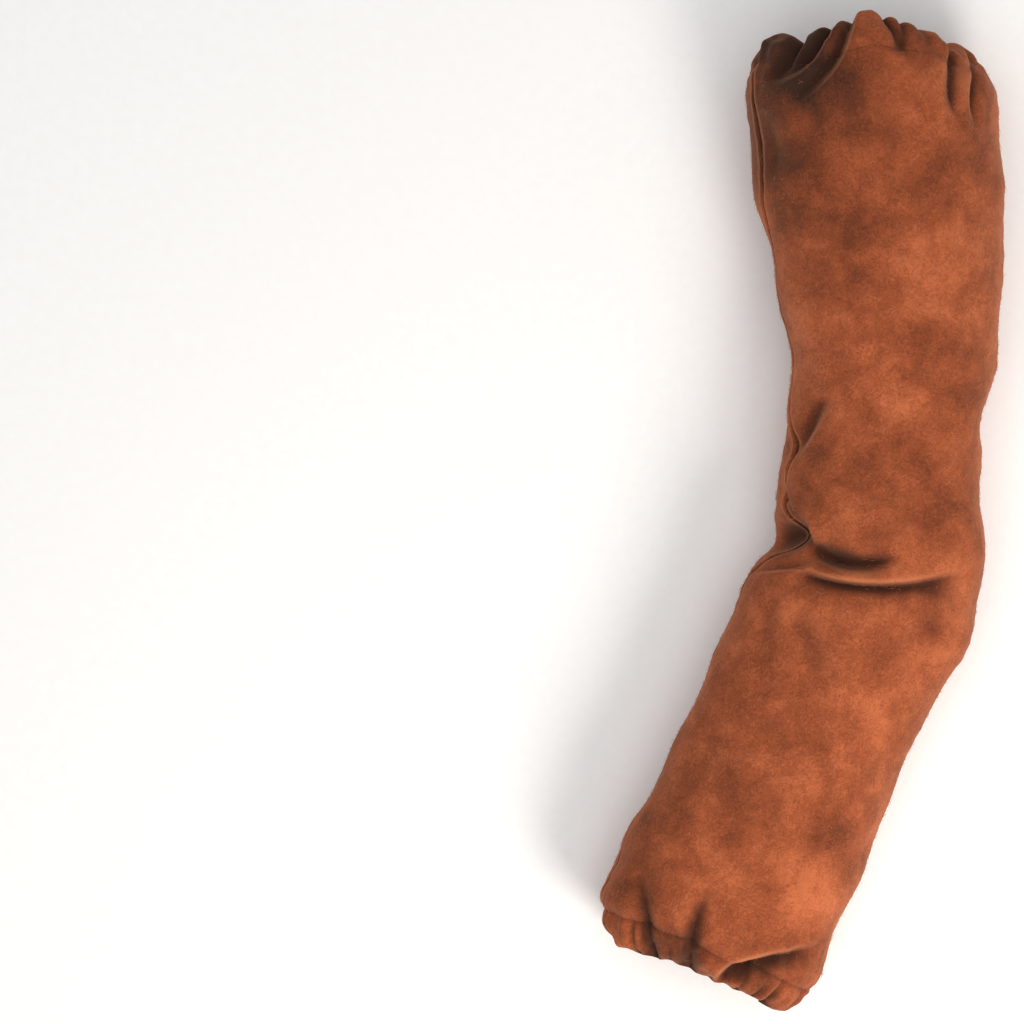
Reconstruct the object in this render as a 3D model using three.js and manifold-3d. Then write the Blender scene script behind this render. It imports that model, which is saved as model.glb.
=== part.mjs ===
// Welding sleeve: a wide, slightly bent tube of soft suede split leather, gathered by an
// elastic at the arm end and at the wrist end, lying on its side on a flat surface.
// Millimetres and degrees, Z up. X is the outer side of the elbow, Y points to the arm end.
import * as THREE from "three";
import Module from "manifold-3d";

// Driving sizes
const sleeveLength = 584; // rim to rim along the outer side, laid straight
const upperWidth = 144; // across the upper arm, on the floor
const upperHeight = 108; // floor to top of the upper arm
const wristWidth = 127; // across the sleeve at the wrist, before the gathers
const wristHeight = 84; // floor to top at the wrist, before the gathers
const elbowBend = 31; // turn of the middle line, in degrees
const leatherThickness = 1.5;
const casingWidth = 15; // stitch line to rim
const casingRoom = 1.8; // clear height inside each casing, for the elastic
const elasticWidth = 9;
const elasticThickness = 1;
const seamAllowance = 8; // turned in along the lengthwise seam
const seamRoll = 3; // radius of the rolled edge beside the seam
const seamGap = 0.4; // between the two turned-in edges
const plyGap = 0.5; // between the panel and a casing, at the stitch line
const foldDepth = 6; // the fold tables below give shares of these two
const foldWidth = 6;
const lipWall = 0.65; // width of a fold's wall under its lip, and of the open one over it
const openWall = 1.2;
const lipPlace = 1.3; // middle and half width of the lip, in fold widths
const lipReach = 0.85;
const leanPlace = 0.85; // the same for where the lip leans over the fold
const leanReach = 0.75;
const rimLead = 18; // how far the top of the arm rim stands forward
const armRimReach = 60; // how far down the sleeve each rim's lead still tells
const wristRimReach = 40;
const stitchDip = 1.2; // groove along each stitch line
const stitchDipWidth = 2;
const seamDip = 1.4; // dip in the casings over the lengthwise seam
const seamDipWidth = 2.4;
const innerPlyShort = 0.8; // how far the turned-in ply ends before the stitch line
const innerPlyRoom = 0.35; // between the plies at the stitches
const casingBlend = 8; // over this length the panel's wall turns to the casing's
const underSag = 8; // how much of the underside is pressed flat
const floorSoftness = 6; // half width of the soft turn into the flat underside
const flatReach = 1; // leather this near the floor lies on it
const rowStep = 2.8; // between rows of the mesh at the gathers
const elbowStep = 3.1; // at the elbow's folds
const nearElbowStep = 6;
const plainStep = 11; // where the leather is smooth
const armGathers = 48; // length of the gathered stretch at each end
const wristGathers = 42;
const walkStep = 0.5; // between points of the middle line
const meshTolerance = 0.85; // what a facet may depart from the shape
const sectionRoundness = 2.25; // 2 is an ellipse, higher is squarer

const elbowHalfWidth = 0.4364 * upperWidth;
const centreLength = sleeveLength - (elbowBend * Math.PI / 180) * elbowHalfWidth;
const girthRadius = 0.4167 * upperWidth; // turns an angle into a length, for the folds

// A table whose rows become objects with the named columns.
const table = (columns, rows) =>
  rows.map((row) => Object.fromEntries(columns.map((name, i) => [name, row[i]])));

// Turn of the middle line: where along it (0 arm rim, 1 wrist rim), share of the elbow bend.
const bends = table(["along", "bend"], [
  [0, 0.08], [0.1, 0.11], [0.15, 0.17], [0.25, 0.16], [0.3, 0.09], [0.35, -0.04],
  [0.4, -0.09], [0.45, -0.07], [0.5, -0.235], [0.54, -0.4], [0.58, -0.6], [0.62, -0.73],
  [0.7, -0.83], [0.8, -0.82], [0.86, -0.68], [1, -0.71],
]);

// Half widths to the inner and outer side as shares of the local width, and height share.
const sections = table(["along", "inner", "outer", "height"], [
  [0, 0.49, 0.506, 1], [0.1, 0.49, 0.506, 1], [0.15, 0.485, 0.509, 1],
  [0.2, 0.458, 0.498, 0.99], [0.25, 0.444, 0.478, 0.97], [0.3, 0.42, 0.456, 0.95],
  [0.35, 0.406, 0.431, 0.92], [0.4, 0.41, 0.388, 0.9], [0.45, 0.443, 0.394, 0.92],
  [0.5, 0.448, 0.436, 0.95], [0.54, 0.424, 0.46, 0.96], [0.58, 0.48, 0.48, 0.97],
  [0.62, 0.513, 0.451, 0.97], [0.7, 0.502, 0.433, 0.97], [0.78, 0.498, 0.462, 0.98],
  [0.85, 0.51, 0.475, 1], [0.9, 0.556, 0.474, 1], [1, 0.556, 0.474, 1],
]);

// How the two ends close under their elastics: shares left at the rim, and over what length.
const armMouth = { inner: 0.8, outer: 0.64, height: 0.7, innerReach: 32, outerReach: 52, heightReach: 46 };
const wristMouth = { inner: 0.75, outer: 0.84, height: 0.74, innerReach: 36, outerReach: 26,
  heightReach: 34 };

// How far each rim stands forward round the opening, as shares of the rim lead.
// Angle 0 is the outer side, 90 the top, 180 the inner side, 270 the underside.
const armRim = table(["angle", "lead"], [
  [0, 0], [25, -0.11], [45, 0.28], [62, 0.61], [75, 0.81], [88, 1], [96, 0.89], [103, 0.67],
  [116, 0.53], [133, 0.33], [150, 0.47], [165, 0.22], [180, 0], [270, -0.22], [360, 0],
]);
const wristRim = table(["angle", "lead"], [
  [0, -0.11], [12, 0.06], [22, 0.29], [45, 0.19], [63, 0.13], [98, 0.11], [115, 0.11],
  [135, 0.22], [147, 0.26], [172, 0.17], [180, 0.06], [270, 0], [360, -0.11],
]);

// Course of the lengthwise seam along the inner side of the arm.
const seamCourse = table(["along", "angle"], [
  [0, 158], [0.1, 156], [0.2, 163], [0.26, 170], [0.34, 172], [0.395, 162], [0.425, 152],
  [0.455, 161], [0.485, 160], [0.515, 143], [0.53, 142], [0.56, 160], [0.6, 173],
  [0.8, 177], [0.9, 172], [1, 170],
]);

// Folds: each is a curve over the surface from the first to the last point, pulled towards
// the middle one. Depth, width, lip and lean are shares of foldDepth and foldWidth. The lip
// is a ridge on one side, lean pushes it over the fold, and gather 1 runs out of the rim. A
// negative depth makes a ridge.
const foldColumns = ["name", "along0", "angle0", "along1", "angle1", "along2", "angle2",
  "depth", "width", "lip", "lean", "side", "gather"];
const folds = table(foldColumns, [
  ["arm pleat 1", -0.007, 81, 0.009, 75, 0.031, 75, 1.45, 0.6, 0, 0, 1, 1],
  ["arm pleat 2", -0.008, 66, 0.012, 68, 0.031, 74, 1.1, 0.6, 0, 0, 1, 1],
  ["arm pleat 3", -0.009, 100, 0.034, 101, 0.06, 128, 1.5, 0.8, 0.27, 0.1, -1, 1],
  ["arm pleat 4", -0.01, 112, 0.03, 111, 0.043, 145, 1.4, 0.72, 0.22, 0.08, -1, 1],
  ["arm pleat 5", -0.013, 132, 0.012, 125, 0.04, 142, 1.42, 0.73, 0, 0, 1, 1],
  ["arm pleat 6", 0, 24, 0.051, 60, 0.086, 50, 1.25, 0.6, 0, 0, 1, 0],
  ["arm pleat 7", 0.015, 6, 0.057, 46, 0.094, 37, 1, 0.6, 0, 0, 1, 0],
  ["arm pleat 8", -0.01, 50, 0.014, 58, 0.029, 60, 0.43, 0.75, 0, 0, 1, 1],
  ["arm ridge", 0.012, 88, 0.04, 90, 0.08, 92, -0.3, 1.7, 0, 0, 1, 0],
  ["arm hollow", 0.069, 147, 0.1, 144, 0.132, 142, 0.5, 1.33, 0, 0, 1, 0],
  ["arm dent", 0.079, 121, 0.079, 99, 0.08, 77, 0.27, 1.83, 0, 0, 1, 0],
  ["bulge edge", 0.43, 152, 0.404, 138, 0.366, 129, 1, 0.7, 0.23, 0.1, 1, 0],
  ["bulge rim", 0.442, 168, 0.476, 170, 0.505, 138, 0.4, 0.6, 0, 0, 1, 0],
  ["inner crease", 0.539, 176, 0.527, 142, 0.518, 131, 1.6, 1.27, 0, 0, 1, 0],
  ["elbow pocket", 0.535, 130, 0.561, 104, 0.527, 80, 1.5, 0.85, 0.2, 0, 1, 0],
  ["elbow undercut", 0.568, 132, 0.583, 108, 0.529, 36, 1.3, 0.7, 0.27, 0.33, -1, 0],
  ["elbow crease", 0.552, 66, 0.551, 50, 0.558, 34, 0.45, 0.9, 0, 0, 1, 0],
  ["shoulder crease", 0.554, 126, 0.566, 132, 0.592, 172, 0.5, 0.75, 0.2, 0, -1, 0],
  ["forearm dent 1", 0.608, 124, 0.645, 108, 0.682, 92, 0.4, 1.33, 0, 0, 1, 0],
  ["forearm dent 2", 0.604, 140, 0.64, 129, 0.691, 130, 0.33, 1.17, 0, 0, 1, 0],
  ["forearm dent 3", 0.764, 147, 0.802, 124, 0.84, 102, 0.37, 2, 0, 0, 1, 0],
  ["forearm dent 4", 0.608, 64, 0.581, 57, 0.571, 34, 0.33, 1.08, 0, 0, 1, 0],
  ["wrist pleat 1", 1.014, 126, 0.968, 122, 0.924, 144, 1.45, 0.8, 0, 0, 1, 1],
  ["wrist pleat 2", 1.016, 99, 0.963, 105, 0.912, 104, 1.4, 0.77, 0, 0, 1, 1],
  ["wrist fold", 0.997, 78, 0.978, 88, 0.932, 28, 1.5, 0.85, 0.4, 0.28, -1, 0],
  ["wrist pleat 3", 1.015, 30, 0.994, 52, 0.971, 46, 0.85, 0.65, 0, 0, 1, 1],
  ["wrist puff", 0.979, 98, 0.989, 89, 0.976, 79, -0.43, 1.25, 0, 0, 1, 0],
]);
// Gathers on the far side of both ends, one every 24 degrees.
for (let k = 0; k < 7; k++) {
  const angle = 200 + 24 * k;
  folds.push(...table(foldColumns, [
    ["arm under pleat", -0.011, angle, 0.025, angle + 3, 0.058, angle + 4,
      k % 2 ? 0.7 : 0.83, 1, 0, 0, 1, 1],
    ["wrist under pleat", 1.011, angle + 4, 0.978, angle + 1, 0.945, angle,
      k % 2 ? 0.73 : 0.6, 0.92, 0, 0, 1, 1],
  ]));
}

const radians = (degrees) => (degrees * Math.PI) / 180;
const clamp = (value, low, high) => Math.min(high, Math.max(low, value));
const bell = (distance, width) => Math.exp(-((distance / width) ** 2));

// A smooth curve through one column of a table that never swings past its rows.
function curveThrough(rows, key, at = "along") {
  const x = rows.map((row) => row[at]);
  const y = rows.map((row) => row[key]);
  const last = x.length - 1;
  const step = x.slice(1).map((value, i) => value - x[i]);
  const rise = step.map((value, i) => (y[i + 1] - y[i]) / value);
  const slope = x.map((_, i) => {
    if (i === 0) return rise[0];
    if (i === last) return rise[last - 1];
    const before = rise[i - 1];
    const after = rise[i];
    if (before * after <= 0) return 0;
    const w1 = 2 * step[i] + step[i - 1];
    const w2 = step[i] + 2 * step[i - 1];
    return (w1 + w2) / (w1 / before + w2 / after);
  });
  return (value) => {
    let i = 0;
    while (i < last - 1 && value >= x[i + 1]) i++;
    const u = clamp((value - x[i]) / step[i], 0, 1);
    const u2 = u * u;
    const u3 = u2 * u;
    return (2 * u3 - 3 * u2 + 1) * y[i] + (u3 - 2 * u2 + u) * step[i] * slope[i]
      + (3 * u2 - 2 * u3) * y[i + 1] + (u3 - u2) * step[i] * slope[i + 1];
  };
}

const bendAt = curveThrough(bends, "bend");
const innerAt = curveThrough(sections, "inner");
const outerAt = curveThrough(sections, "outer");
const heightAt = curveThrough(sections, "height");
const armLeadAt = curveThrough(armRim, "lead", "angle");
const wristLeadAt = curveThrough(wristRim, "lead", "angle");
const seamAngleAt = curveThrough(seamCourse, "angle");

// The middle line on the floor, walked in short steps of its own length.
const walkStart = -2 * wristRimReach;
const walk = (() => {
  const points = [];
  let x = 0;
  let y = 0;
  let heading = radians(elbowBend * bendAt(0));
  for (let d = walkStart; d <= centreLength + wristRimReach; d += walkStep) {
    points.push({ d, x, y, heading });
    const next = radians(elbowBend * bendAt(clamp((d + walkStep) / centreLength, 0, 1)));
    x += (walkStep * (Math.sin(heading) + Math.sin(next))) / 2;
    y -= (walkStep * (Math.cos(heading) + Math.cos(next))) / 2;
    heading = next;
  }
  const zero = points[Math.round(-walkStart / walkStep)];
  return points.map((p) => ({ x: p.x - zero.x, y: p.y - zero.y, heading: p.heading }));
})();

function middleAt(distance) {
  const t = (distance - walkStart) / walkStep;
  const i = clamp(Math.floor(t), 0, walk.length - 2);
  const u = t - i;
  const mix = (key) => walk[i][key] * (1 - u) + walk[i + 1][key] * u;
  return { x: mix("x"), y: mix("y"), heading: mix("heading") };
}

// What is left of a half width or height at a distance from a gathered rim.
const closing = (share, reach, distance) =>
  1 - (1 - share) * (1 - clamp(distance / reach, 0, 1)) ** 2.4;

// The plain tube without folds: distance along the middle line and angle round it.
function plainPoint(distance, angle) {
  const along = distance / centreLength;
  const fromWrist = centreLength - distance;
  const width = upperWidth + (wristWidth - upperWidth) * along;
  const height = (upperHeight + (wristHeight - upperHeight) * along) * heightAt(along);
  const cos = Math.cos(radians(angle));
  const sin = Math.sin(radians(angle));
  const side = cos > 0 ? "outer" : "inner";
  const half = width * (cos > 0 ? outerAt(along) : innerAt(along))
    * closing(armMouth[side], armMouth[side + "Reach"], distance)
    * closing(wristMouth[side], wristMouth[side + "Reach"], fromWrist);
  const squeeze = closing(armMouth.height, armMouth.heightReach, distance)
    * closing(wristMouth.height, wristMouth.heightReach, fromWrist);
  const n = sectionRoundness;
  const radius = (Math.abs(cos) ** n + Math.abs(sin) ** n) ** (-1 / n);
  const middle = 0.46 * height;
  const rise = (sin > 0 ? height - middle : middle + underSag) * squeeze;
  const turn = ((angle % 360) + 360) % 360;
  const station = distance
    - rimLead * armLeadAt(turn) * clamp(1 - distance / armRimReach, 0, 1) ** 1.5
    + rimLead * wristLeadAt(turn) * clamp(1 - fromWrist / wristRimReach, 0, 1) ** 1.5;
  const m = middleAt(station);
  const across = half * radius * cos;
  return new THREE.Vector3(
    m.x + Math.cos(m.heading) * across,
    m.y + Math.sin(m.heading) * across,
    middle + rise * radius * sin,
  );
}

// Each fold as a chain of short straight pieces over the unrolled surface.
const foldChains = folds.map((fold) => {
  const points = [];
  for (let i = 0; i <= 14; i++) {
    const t = i / 14;
    const mix = (key) => (1 - t) ** 2 * fold[key + 0] + 2 * t * (1 - t) * fold[key + 1]
      + t ** 2 * fold[key + 2];
    points.push([mix("along") * centreLength, radians(mix("angle")) * girthRadius]);
  }
  return { fold, points, middle: (fold.angle0 + fold.angle1 + fold.angle2) / 3 };
});

// How far the folds move the leather outwards (up) and along the sleeve (slide).
function foldMove(distance, angle) {
  let up = 0;
  let slide = 0;
  for (const { fold, points, middle } of foldChains) {
    const arc = radians(middle + ((((angle - middle + 180) % 360) + 360) % 360) - 180) * girthRadius;
    let best = Infinity;
    let part = 0;
    let sign = 1;
    for (let i = 0; i < points.length - 1; i++) {
      const [d0, a0] = points[i];
      const dd = points[i + 1][0] - d0;
      const da = points[i + 1][1] - a0;
      const t = clamp(((distance - d0) * dd + (arc - a0) * da) / (dd * dd + da * da + 1e-9), 0, 1);
      const ed = distance - d0 - t * dd;
      const ea = arc - a0 - t * da;
      const gap = Math.hypot(ed, ea);
      if (gap < best) {
        best = gap;
        part = (i + t) / (points.length - 1);
        sign = Math.sign(dd * ea - da * ed);
      }
    }
    const fade = fold.gather ? Math.cos((Math.PI / 2) * part) ** 0.7 : Math.sin(Math.PI * part) ** 0.7;
    const width = fold.width * foldWidth;
    const off = best * sign;
    const underLip = off * fold.side > 0;
    const wall = width * (fold.lip > 0 ? (underLip ? lipWall : openWall) : 1);
    up -= fold.depth * foldDepth * bell(off, wall) * fade;
    up += fold.lip * foldDepth * bell(off - fold.side * lipPlace * width, lipReach * width) * fade;
    slide += fold.lean * foldDepth * bell(off - fold.side * leanPlace * width, leanReach * width) * fade;
  }
  up -= stitchDip * bell(distance - casingWidth, stitchDipWidth);
  up -= stitchDip * bell(centreLength - casingWidth - distance, stitchDipWidth);
  return { up, slide };
}

// Leather that would hang below the floor lies flat on it, with a soft turn.
function settle(z) {
  if (z > floorSoftness) return z;
  if (z < -floorSoftness) return 0;
  return (z + floorSoftness) ** 2 / (4 * floorSoftness);
}

// The face of the leather, with its folds, resting on the floor.
function facePoint(distance, angle, overSeam = false) {
  const nudge = 0.25;
  const base = plainPoint(distance, angle);
  const alongWay = plainPoint(distance + nudge, angle).sub(base).normalize();
  const roundWay = plainPoint(distance, angle + nudge).sub(base).normalize();
  const outward = roundWay.clone().cross(alongWay).normalize();
  const { up, slide } = foldMove(distance, angle);
  let dip = 0;
  if (overSeam) {
    const off = ((angle - seamAngleAt(distance / centreLength) + 540) % 360) - 180;
    dip = seamDip * bell(radians(off) * girthRadius, seamDipWidth);
  }
  base.addScaledVector(outward, up - dip).addScaledVector(alongWay, slide);
  base.z = settle(base.z);
  return base;
}

// Straight out of the plain tube half way along a casing. Every ply and the elastic are set
// off the face in this one direction, so that they nest inside each gather.
function casingOutward(angle, atWrist) {
  const distance = atWrist ? centreLength - casingWidth / 2 : casingWidth / 2;
  const base = plainPoint(distance, angle);
  const alongWay = plainPoint(distance + 0.5, angle).sub(base);
  const roundWay = plainPoint(distance, angle + 0.5).sub(base);
  return roundWay.cross(alongWay).normalize();
}

// A solid from rings of points. Each ring is a closed outline, joined to the next one.
// With endsMeet the last ring joins the first, else each end ring is closed across.
// Where order is given, every square is cut from its lower corner to its higher one, so
// that layers set off from the same face are cut alike; elsewhere the shorter cut is used.
function solidFromRings(rings, endsMeet, order) {
  const count = rings[0].length;
  const positions = new Float32Array(rings.length * count * 3);
  rings.forEach((ring, i) => ring.forEach((p, k) => p.toArray(positions, (i * count + k) * 3)));
  const faces = [];
  const at = (i, k) => (i % rings.length) * count + (k % count);
  const span = (a, b) =>
    [0, 1, 2].reduce((sum, n) => sum + (positions[3 * a + n] - positions[3 * b + n]) ** 2, 0);
  const quad = (a, b, c, d, cutFromA = span(a, c) < span(b, d)) =>
    (cutFromA ? faces.push(a, b, c, a, c, d) : faces.push(a, b, d, b, c, d));
  const spans = endsMeet ? rings.length : rings.length - 1;
  for (let i = 0; i < spans; i++)
    for (let k = 0; k < count; k++) {
      const cutFromA = order ? order[k] < order[(k + 1) % count] : undefined;
      quad(at(i, k), at(i, k + 1), at(i + 1, k + 1), at(i + 1, k), cutFromA);
    }
  if (!endsMeet) {
    const end = rings.length - 1;
    for (let k = 0; k < count / 2 - 1; k++) {
      quad(at(0, k + 1), at(0, k), at(0, count - 1 - k), at(0, count - 2 - k));
      quad(at(end, k), at(end, k + 1), at(end, count - 2 - k), at(end, count - 1 - k));
    }
  }
  const geometry = new THREE.BufferGeometry();
  geometry.setAttribute("position", new THREE.BufferAttribute(positions, 3));
  geometry.setIndex(faces);
  if (enclosedVolume(geometry) < 0) {
    for (let i = 0; i < faces.length; i += 3) [faces[i + 1], faces[i + 2]] = [faces[i + 2], faces[i + 1]];
    geometry.setIndex(faces);
  }
  return geometry;
}

function enclosedVolume(geometry) {
  const p = geometry.getAttribute("position");
  const index = geometry.getIndex();
  const [a, b, c] = [0, 1, 2].map(() => new THREE.Vector3());
  let sum = 0;
  for (let i = 0; i < index.count; i += 3) {
    a.fromBufferAttribute(p, index.getX(i));
    b.fromBufferAttribute(p, index.getX(i + 1));
    c.fromBufferAttribute(p, index.getX(i + 2));
    sum += a.dot(b.cross(c)) / 6;
  }
  return sum;
}

// Stations along the panel, close together at the gathers and at the elbow.
function panelStations() {
  const from = casingWidth + plyGap / 2;
  const to = centreLength - casingWidth - plyGap / 2;
  const stations = [];
  let d = from;
  while (d < to - rowStep / 2) {
    stations.push(d);
    const share = d / centreLength;
    if (d < armGathers || d > centreLength - wristGathers) d += rowStep;
    else if (share > 0.5 && share < 0.62) d += elbowStep;
    else if (share > 0.36 && share < 0.72) d += nearElbowStep;
    else d += plainStep;
  }
  stations.push(to);
  return stations;
}

// One piece of leather wrapped round the arm, both long edges turned in side by side.
function makePanel() {
  const stations = panelStations();
  const mainColumns = 78;
  const rollColumns = 3;
  const face = stations.map((distance) => {
    const seam = seamAngleAt(distance / centreLength);
    const seamPoint = plainPoint(distance, seam);
    const roundWay = plainPoint(distance, seam + 1).sub(seamPoint);
    const perDegree = roundWay.length();
    const alongWay = plainPoint(distance + 0.5, seam).sub(seamPoint);
    const inward = alongWay.cross(roundWay).normalize();
    const edge = [];
    edge.push([seamGap / 2, seamRoll + seamAllowance], [seamGap / 2, seamRoll + seamAllowance / 2]);
    for (let k = 0; k < rollColumns; k++) {
      const turn = (Math.PI / 2) * (k / rollColumns);
      edge.push([seamGap / 2 + seamRoll * (1 - Math.cos(turn)), seamRoll * (1 - Math.sin(turn))]);
    }
    const first = (seamGap / 2 + seamRoll) / perDegree;
    const columns = edge.map(([off, dip]) => [off / perDegree, dip]);
    for (let k = 0; k <= mainColumns; k++) columns.push([first + ((360 - 2 * first) * k) / mainColumns, 0]);
    for (const [off, dip] of [...edge].reverse()) columns.push([360 - off / perDegree, dip]);
    return columns.map(([turn, dip]) => ({
      point: facePoint(distance, seam + turn).addScaledVector(inward, dip),
      angle: seam + turn,
      dip,
    }));
  });
  const rings = face.map((row, i) => {
    const distance = stations[i];
    const fromRim = Math.min(distance, centreLength - distance);
    const casingShare = clamp(1 - (fromRim - casingWidth) / casingBlend, 0, 1);
    const back = row.map(({ point, angle, dip }, k) => {
      const before = face[Math.max(0, i - 1)][k].point;
      const after = face[Math.min(face.length - 1, i + 1)][k].point;
      const left = row[Math.max(0, k - 1)].point;
      const right = row[Math.min(row.length - 1, k + 1)].point;
      const outward = right.clone().sub(left).cross(after.clone().sub(before)).normalize();
      if (casingShare > 0 && dip === 0)
        outward.lerp(casingOutward(angle, distance > centreLength / 2), casingShare).normalize();
      const inner = point.clone().addScaledVector(outward, -leatherThickness);
      if (point.z < 0.01) inner.z = leatherThickness;
      return inner;
    });
    return [...row.map(({ point }) => point), ...back.reverse()];
  });
  return solidFromRings(rings, false);
}

// Angles for the rings of the casings and elastics, closer together on the seen side.
const ringAngles = (() => {
  const angles = [];
  for (let a = 0; a < 180; a += 5.625) angles.push(a);
  for (let a = 180; a < 360; a += 12) angles.push(a);
  return angles;
})();

// A ring whose outline is given as (distance from the rim, depth under the face).
function makeRing(outline, atWrist) {
  const rings = ringAngles.map((angle) => {
    const outward = casingOutward(angle, atWrist);
    return outline.map(([fromRim, depth]) => {
      const distance = atWrist ? centreLength - fromRim : fromRim;
      return facePoint(distance, angle, true).addScaledVector(outward, -depth);
    });
  });
  return solidFromRings(rings, true, outline.map(([fromRim]) => fromRim));
}

// Stations shared by the casing walls and the elastic, so that both follow the gathers alike.
const bandStations = [0, 0.5, 1].map((share) => leatherThickness + casingRoom / 2 + share * elasticWidth);

// The hem turned back on itself: outer ply, round rim, inner ply pinched at the stitches.
function casingOutline() {
  const t = leatherThickness;
  const depth = 2 * t + casingRoom;
  const rim = depth / 2;
  const end = casingWidth - plyGap / 2;
  const pinch = t + innerPlyRoom;
  const inwards = [...bandStations].reverse();
  const outline = [[end, 0], ...inwards.map((d) => [d, 0])];
  for (const turn of [45, 90, 135]) {
    outline.push([rim - rim * Math.sin(radians(turn)), rim - rim * Math.cos(radians(turn))]);
  }
  outline.push(...bandStations.map((d) => [d, depth]));
  outline.push([end - innerPlyShort, pinch + t], [end - innerPlyShort, pinch]);
  outline.push(...inwards.map((d) => [d, depth - t]), [t, rim]);
  outline.push(...bandStations.map((d) => [d, t]), [end, t]);
  return outline;
}

function elasticOutline() {
  const top = leatherThickness + (casingRoom - elasticThickness) / 2;
  const under = top + elasticThickness;
  return [...[...bandStations].reverse().map((d) => [d, top]), ...bandStations.map((d) => [d, under])];
}

const suede = { color: 0x934f31, roughness: 0.95, metalness: 0 };
const webbing = { color: 0x2b2725, roughness: 0.85, metalness: 0 };

// Fewer, larger faces where the leather is nearly flat, within a small tolerance, and a
// truly flat face where it lies on the floor.
async function thinnedOut(geometry, tolerance) {
  const wasm = await Module();
  wasm.setup();
  const solid = new wasm.Manifold(new wasm.Mesh({
    numProp: 3,
    vertProperties: geometry.getAttribute("position").array,
    triVerts: new Uint32Array(geometry.getIndex().array),
  }));
  const mesh = solid.simplify(tolerance).getMesh();
  const positions = new Float32Array(mesh.vertProperties);
  for (let i = 2; i < positions.length; i += 3) if (positions[i] < flatReach) positions[i] = 0;
  const thin = new THREE.BufferGeometry();
  thin.setAttribute("position", new THREE.BufferAttribute(positions, 3));
  thin.setIndex(new THREE.BufferAttribute(new Uint32Array(mesh.triVerts), 1));
  return thin;
}

const shapes = {
  sleeve_panel: [await thinnedOut(makePanel(), meshTolerance), suede],
  upper_casing: [makeRing(casingOutline(), false), suede],
  wrist_casing: [makeRing(casingOutline(), true), suede],
  upper_elastic: [makeRing(elasticOutline(), false), webbing],
  wrist_elastic: [makeRing(elasticOutline(), true), webbing],
};

const sleeve = new THREE.Group();
sleeve.name = "welding_sleeve";
for (const [name, [geometry, finish]] of Object.entries(shapes)) {
  const mesh = new THREE.Mesh(geometry, new THREE.MeshStandardMaterial(finish));
  mesh.name = name;
  sleeve.add(mesh);
}

// The origin is the middle of the underside.
const box = new THREE.Box3().setFromObject(sleeve, true);
const middle = box.getCenter(new THREE.Vector3());
for (const mesh of sleeve.children) mesh.geometry.translate(-middle.x, -middle.y, -box.min.z);

export default sleeve;
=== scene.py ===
import logging
import math
from dataclasses import dataclass, replace
from enum import Enum
from functools import cached_property

import bpy
import numpy as np
from bpy.types import Material, Node, NodeSocket, NodeTree, Object
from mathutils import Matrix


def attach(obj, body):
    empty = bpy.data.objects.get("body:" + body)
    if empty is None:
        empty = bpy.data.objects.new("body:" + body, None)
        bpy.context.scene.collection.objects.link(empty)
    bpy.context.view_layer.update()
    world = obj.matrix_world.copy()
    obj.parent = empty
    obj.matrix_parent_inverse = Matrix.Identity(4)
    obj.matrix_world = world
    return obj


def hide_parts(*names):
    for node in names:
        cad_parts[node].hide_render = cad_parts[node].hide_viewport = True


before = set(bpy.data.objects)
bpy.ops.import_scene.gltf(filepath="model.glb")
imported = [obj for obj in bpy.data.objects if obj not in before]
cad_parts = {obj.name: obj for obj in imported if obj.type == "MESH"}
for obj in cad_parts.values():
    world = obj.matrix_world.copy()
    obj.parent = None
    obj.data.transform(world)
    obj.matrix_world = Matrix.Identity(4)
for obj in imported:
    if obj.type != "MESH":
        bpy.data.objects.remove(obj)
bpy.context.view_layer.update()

# Welding sleeve of soft suede split leather, lying on its side on a pale floor. Every shape is
# worked out in millimetres from the distance along the middle line of the sleeve and the angle
# round it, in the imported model's own frame, and is written to its mesh in metres.
MM = 0.001
Array = np.ndarray
log = logging.getLogger("welding_sleeve")


@dataclass(frozen=True)
class Table:
    """Rows of numbers under named columns, read as smooth curves over the first column."""

    columns: tuple[str, ...]
    rows: tuple[tuple[float, ...], ...]

    def column(self, name: str) -> Array:
        """Give one column as an array."""
        return np.array([row[self.columns.index(name)] for row in self.rows], float)

    def curve(self, name: str, at: Array) -> Array:
        """Read a column as a smooth curve that never swings past its rows.

        Cubic pieces meet with one slope, the weighted harmonic mean of the rises on both
        sides, or nought where the rises change sign.

        Args:
            name: The column to read.
            at: Places on the first column's scale; past the ends the end values hold.

        Returns:
            The curve's values, shaped like at.
        """
        x, y = self.column(self.columns[0]), self.column(name)
        step = np.diff(x)
        rise = np.diff(y) / step
        slope = np.concatenate([rise[:1], np.zeros(len(x) - 2), rise[-1:]])
        before, after = rise[:-1], rise[1:]
        same = before * after > 0
        w1, w2 = 2 * step[1:] + step[:-1], step[1:] + 2 * step[:-1]
        mean = (w1 + w2) / (w1 / np.where(same, before, 1) + w2 / np.where(same, after, 1))
        slope[1:-1] = np.where(same, mean, 0)
        i = np.clip(np.searchsorted(x, at, side="right") - 1, 0, len(step) - 1)
        u = np.clip((at - x[i]) / step[i], 0, 1)
        return (
            (2 * u**3 - 3 * u**2 + 1) * y[i]
            + (u**3 - 2 * u**2 + u) * step[i] * slope[i]
            + (3 * u**2 - 2 * u**3) * y[i + 1]
            + (u**3 - u**2) * step[i] * slope[i + 1]
        )


# Turn of the middle line: where along it (0 arm rim, 1 wrist rim), share of the elbow bend
BENDS = Table(("along", "bend"), (
    (0, 0.08), (0.1, 0.11), (0.15, 0.17), (0.25, 0.16), (0.3, 0.09), (0.35, -0.04),
    (0.4, -0.09), (0.45, -0.07), (0.5, -0.235), (0.54, -0.4), (0.58, -0.6), (0.62, -0.73),
    (0.7, -0.83), (0.8, -0.82), (0.86, -0.68), (1, -0.71),
))

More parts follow.
